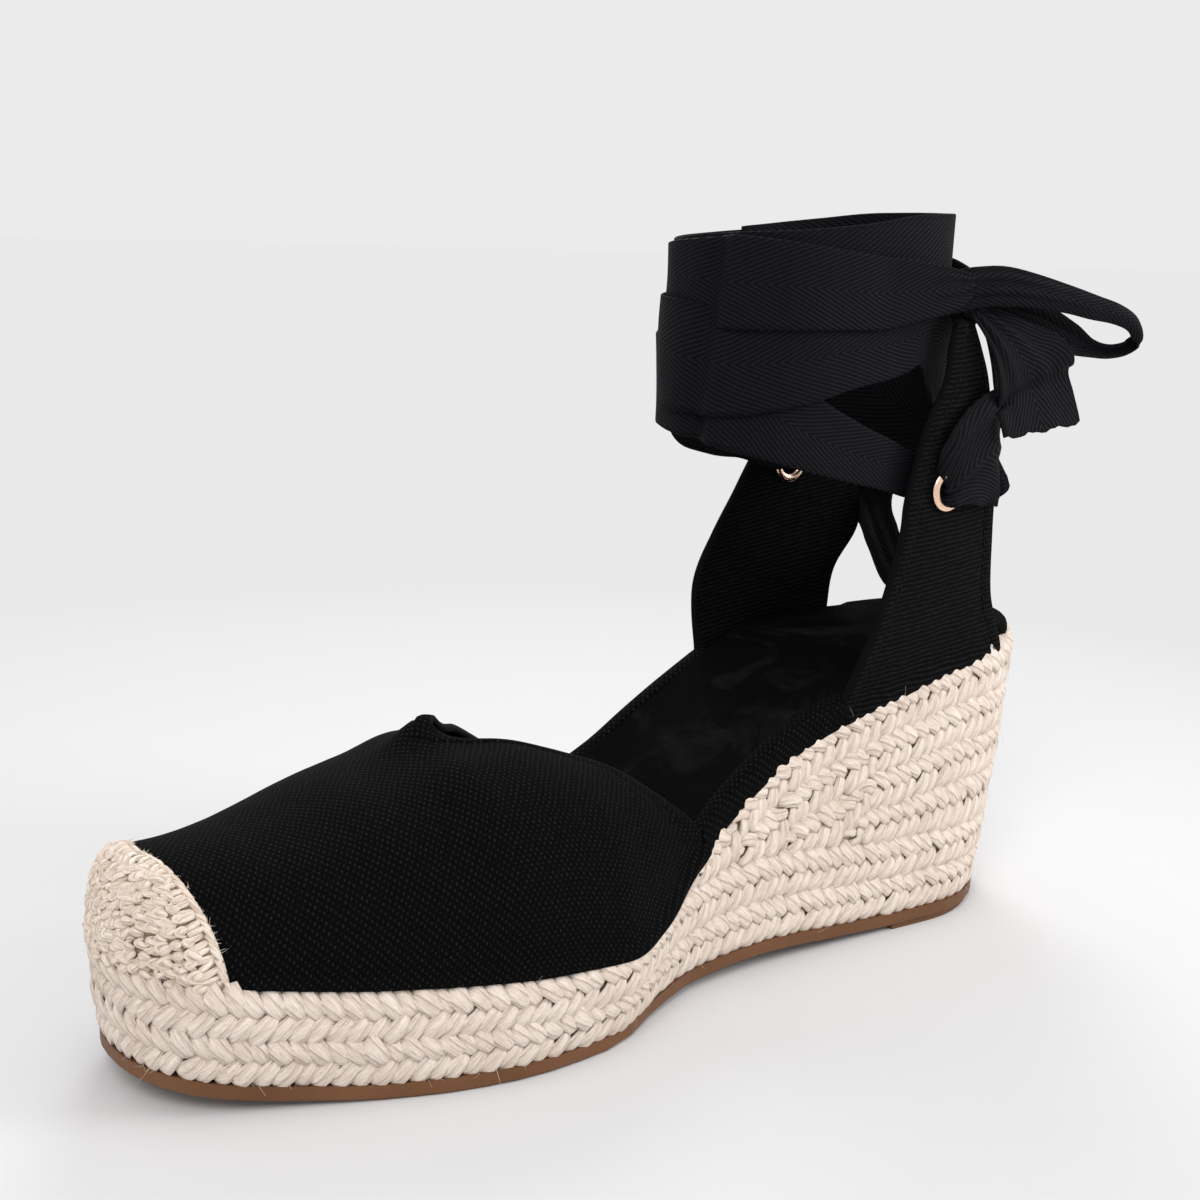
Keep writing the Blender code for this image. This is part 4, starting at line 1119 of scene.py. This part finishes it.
def strap_faces(name, rows=90, cols=48):
    """A strap's outer face, its outward normals, and its distances up and across."""
    lateral = name == "lateral"
    front, back = STRAP_FOOT[name]
    columns = []
    for v in np.linspace(0, 1, cols + 1):
        s = front + (back - front) * v
        rim = float(sides(top_height, s, lateral)) + GAP
        path = [(s, float(top_x(s, lateral, inset)), rim + rise)
                for inset, rise in ((0.7 * v ** 8 - 0.8, -1.6), (0.5 * v ** 8 - 0.7, 0.2), (0.6, 3.4))]
        for level in STRAP_LATERAL if lateral else STRAP_MEDIAL:
            s, x, z = np.array(level[:3]) + v * (np.array(level[3:]) - level[:3])
            bow = 4.8 * v * (1 - v) * min(1, (level[2] - 60) / 20)
            path.append((s, x + sign(lateral) * bow, z))
        columns.append(through(path, rows))
    s, x, z = np.array(columns).transpose(2, 1, 0)
    grid = point(s, x, z)
    out = normals(grid)
    out = out * np.sign(out[..., :1] * sign(lateral))
    out[0] = unit(out[0] * [1, 1, 0])
    return grid, out, lengths(grid), lengths(grid, 1)


def strap_frame(name):
    """Middle of the strap's wall at its eyelet, and the outward normal."""
    grid, out = strap_faces(name)[:2]
    middle = grid - out * STRAP / 2
    s, z = EYELETS[name]
    away = np.hypot(-middle[..., 1] - s, middle[..., 2] - z)
    nearest = np.unravel_index(away.argmin(), away.shape)
    return middle[nearest], out[nearest]


def make_strap(name, centre, normal):
    """A canvas strap with folded edges, an eyelet hole, and stitching along both long edges."""
    grid, out, up, across = strap_faces(name)
    whole = across[:, -1:]
    from_edge = np.minimum(across, whole - across)
    hem = 0.30 * (1 - smoothstep(from_edge - 2.7)) - 0.15 * bell(from_edge, 3.5, 0.6)
    pucker = -0.35 * bell(np.linalg.norm(grid - centre, axis=2), 6.2, 2)
    wave = ripple(grid, 18, 0.45, 6.1) * smoothstep(up / 14)
    outer = grid + out * (hem + pucker + wave - 0.05)[..., None]
    inner = grid - out * (STRAP + hem * 0.5 - wave)[..., None]
    lean = 0.14 if name == "lateral" else 0.07
    uv = stacked(grid[..., 2] - lean * grid[..., 1], across - whole / 2)
    cloth = Cloth().wall(outer, inner, uv, rim=0.75, plain_rim=True)
    strap = cloth.make("strap_canvas_" + name, ribbed, "black_canvas", ["strap_" + name])
    cut_hole(strap, centre, normal, EYELET_BORE + 0.6)
    sew("strap_seam_" + name, outer, out, across)


def about(centre, normal, r, h, count):
    """Rings of points round an axis, from radii and heights along it."""
    turning = np.array(Vector(normal).to_track_quat("Z", "Y").to_matrix())
    a = TURN * np.arange(count) / count
    r, h = np.reshape(r, (-1, 1)), np.reshape(h, (-1, 1))
    return centre + stacked(r * np.cos(a), r * np.sin(a), h) @ turning.T


def cut_hole(obj, centre, normal, radius):
    """Cuts a round hole with a Boolean and applies it."""
    count = 48
    verts = put(about(centre, normal, [radius] * 2, [-6, 6], count)).reshape(-1, 3)
    ids = np.arange(2 * count).reshape(2, count)
    mesh = bpy.data.meshes.new("hole")
    faces = [ids[0, ::-1].tolist(), ids[1].tolist(), *squares(hoop(ids)).tolist()]
    mesh.from_pydata(verts, [], faces)
    tool = add_object("hole", mesh)
    cut = obj.modifiers.new("Hole", "BOOLEAN")
    cut.operation = "DIFFERENCE"
    cut.solver = "EXACT"
    cut.object = tool
    bpy.context.view_layer.update()
    shape = bpy.data.meshes.new_from_object(obj.evaluated_get(bpy.context.evaluated_depsgraph_get()))
    obj.modifiers.clear()
    obj.data = shape
    bpy.data.objects.remove(tool)


def sew(name, face, out, across, inside=3.5, long=2.1, pitch=3):
    """Stitches along a strap's front and back edges."""
    cloth = Cloth()
    t = np.linspace(0, 1, 5)
    both = np.concatenate([face, out], -1)
    for back in (False, True):
        rows = [sample(far[-1] - inside if back else inside, far, row)
                for far, row in list(zip(across, both))[2:-1]]
        rows = np.array(rows)
        far = lengths(rows[:, :3])
        first = np.arange(0.8, far[-1] - long, pitch)
        got = sample(first[:, None] + long * t, far, np.concatenate([rows[:, :3], unit(rows[:, 3:])], 1))
        normal = unit(got[..., 3:])
        centre = got[..., :3] + normal * (-0.22 + 0.42 * np.sin(math.pi * t) ** 0.6)[:, None]
        size = np.full(centre.shape[:2], 0.20)
        cloth.tubes(centre, normal, size, size, around=8, plies=2, rough=0.06)
    cloth.make(name, black_thread, "black_canvas")


def make_eyelet(name, centre, normal):
    """A turned ring: barrel, and a flange rolled over on each side of the strap."""
    inside = STRAP / 2 + GAP
    half = (EYELET_OUT - EYELET_BORE) / 2
    profile = [(EYELET_BORE + half - half * math.cos(a), inside + 0.15 + 0.85 * math.sin(a))
               for a in np.linspace(0, math.pi, 17)]
    profile += [(EYELET_OUT - 0.1, inside + 0.02), (EYELET_BORE + 0.75, inside + 0.02)]
    profile += [(r, -h) for r, h in profile[::-1]]
    r, h = np.array(profile).T
    count = 72
    uv = stacked(TURN * np.arange(count) / count * 5, np.arange(len(r))[:, None] * 0.3)
    cloth = Cloth().skin(about(centre, normal, r, h, count), uv, lids=False)
    cloth.make("eyelet_ring_" + name, gold, "rose_gold", ["eyelet_" + name])


# ---------------- footbed
def footbed_inset(s, name):
    """The footbed's edge: inside the upper's walls, and out to the rim where it is bare."""
    hidden, bare = UPPER_INSET + STRAP + GAP + 0.1, 0.9
    free = np.clip((s - 70) / 14, 0, 1) * np.clip((109 - s) / 12, 0, 1)
    free = smoothstep(np.maximum(free, np.clip((STRAP_FOOT[name][1] - 2 - s) / 5, 0, 1)))
    return hidden + (bare - hidden) * free


def make_footbed():
    """A suede-covered pad, rounded at its rim and dished where the foot lies."""
    first, last = 0.9 - HEEL_RAKE, TOP_TOE - 3.4
    shape = [  # in from the edge, height, dish
        (0.9, 0.55, 0), (0.15, 0.9, 0), (-0.1, 2, 0), (-0.05, 3.1, 0), (0.2, 3.95, 0),
        (0.75, 4.6, 0), (1.7, 4.95, 0), (3, 5, 0.1), (5, 5, 0.4), (8, 5, 0.8),
        (12, 5, 1.1), (16.5, 5, 1.25),
    ]
    rings = []
    for extra, rise, dish in shape:
        way = (1 - np.cos(math.pi * np.linspace(0, 1, 150))) / 2
        s = first + extra + (last - first - 2 * extra) * way
        both = []
        for name in SIDES:
            lateral = name == "lateral"
            x = top_x(s, lateral, footbed_inset(s, name) + extra)
            x[[0, -1]] = 0
            both.append(point(s, x, sides(top_height, s, lateral) + rise - dish))
        rings.append(np.concatenate([both[0], both[1][-2:0:-1]]))
    rings = np.array(rings)
    uv = rings[..., :2] * [1, -1]
    worn = ripple(rings, 22, 0.35, 3.3)
    rings[..., 2] += worn * (np.arange(len(shape)) > 5)[:, None]
    pad = Cloth().skin(rings, uv).make("footbed_pad", suede, "black_suede", ["insole"])


def make_binding():
    """Canvas strips over the footbed's rim, from the straps' feet to the vamp."""
    shape = [  # inset, height, share of the thickness taken off the height, distance across
        (-0.8, -1.4, 0, 0), (-0.65, 0.3, 0, 2.6), (0, 2.6, 0.1, 5), (0.6, 4.3, 0.5, 6.8),
        (1.7, 5.3, 0.9, 8.2), (3.6, 5.5, 1, 10.1), (5, 5.1, 1, 11.5),
    ]
    cloth = Cloth()
    for name, end in zip(SIDES, (110.8, 113)):
        s = np.linspace(STRAP_FOOT[name][0] - 0.5, end, 60)[:, None]
        lateral = name == "lateral"
        inset, rise, drop, across = np.array(shape).T
        z = sides(top_height, s, lateral) + rise
        grids = [point(s, top_x(s, lateral, inset + thick), z - thick * drop) for thick in (0, 0.45)]
        cloth.wall(*grids, stacked(s, across), rim=0.15)
    cloth.make("waist_binding", canvas, "black_canvas")


# ---------------- loose fibres
def make_fibres():
    """Fine jute fibres that stand off the plaits, the cap's rim and the sole's edge."""
    draws = np.random.default_rng(SEED + 2)
    count, low_ones, more = 1300, 434, 300      # on the plaits, those near the sole, on the cap
    phi = draws.uniform(0, TURN, count)
    share = np.concatenate([draws.uniform(0, 1, count - low_ones), draws.beta(1.2, 9, low_ones)])
    place = wall(phi, share)
    out = unit(np.cross(wall(phi + 0.01, share) - place, [0, 0, 1]))
    out = out * np.where(((place - [0, -118, 0]) * out).sum(1, keepdims=True) < 0, -1, 1)
    angle = draws.uniform(2, 178, more)
    share = np.where(draws.uniform(0, 1, more) < 0.45, 0, draws.uniform(0, 0.9, more))
    place_cap, out_cap = CapSurface(-1.6).at(angle, share)
    place = np.concatenate([place + out * 0.5, place_cap - out_cap * 0.2])[:, None]
    out = np.concatenate([out, out_cap])
    size = np.repeat([0.5, 0.3], [count, more])
    count += more
    along = unit(draws.normal(0, 1, (count, 3)))
    along = unit(along - (along * out).sum(1, keepdims=True) * out)[:, None]
    out = out[:, None]
    long = (draws.gamma(3, 1.1, count) * size)[:, None, None]
    t = np.linspace(0, 1, 7)[:, None]
    rise = draws.uniform(0.15, 0.75, count)[:, None, None]
    bend = unit(draws.normal(0, 1, (count, 3)))[:, None]
    centre = place + along * long * t + out * long * rise * t * (1 - 0.4 * t) + bend * long * 0.25 * t ** 2
    centre[..., 2] = np.maximum(centre[..., 2], 1.2)
    size = draws.uniform(0.03, 0.055, count)[:, None] * (1 - 0.6 * t[:, 0])
    cloth = Cloth().tubes(centre, out + 0.01, size, size, around=4, plies=0, rough=0)
    cloth.make("jute_fibres", crochet, "jute_braid")


def paint_outsole():
    """The moulded sole keeps its own shape and takes the rubber."""
    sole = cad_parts["outsole"]
    sole.data.materials.clear()
    sole.data.materials.append(rubber)


FRAMES = {name: strap_frame(name) for name in SIDES}
make_wraps()
make_heel_tape()
bun = make_knot()
make_bow("bow_near", BOW_NEAR, TAIL_NEAR, ["bow_loop", "tape_tail"])
make_bow("bow_far", BOW_FAR, TAIL_FAR, ["bow_loop_back", "tape_tail_back"])
make_wedge()
make_cap()
make_vamp()
for side in SIDES:
    make_strap(side, *FRAMES[side])
    make_eyelet(side, *FRAMES[side])
make_footbed()
make_binding()
paint_outsole()
make_fibres()
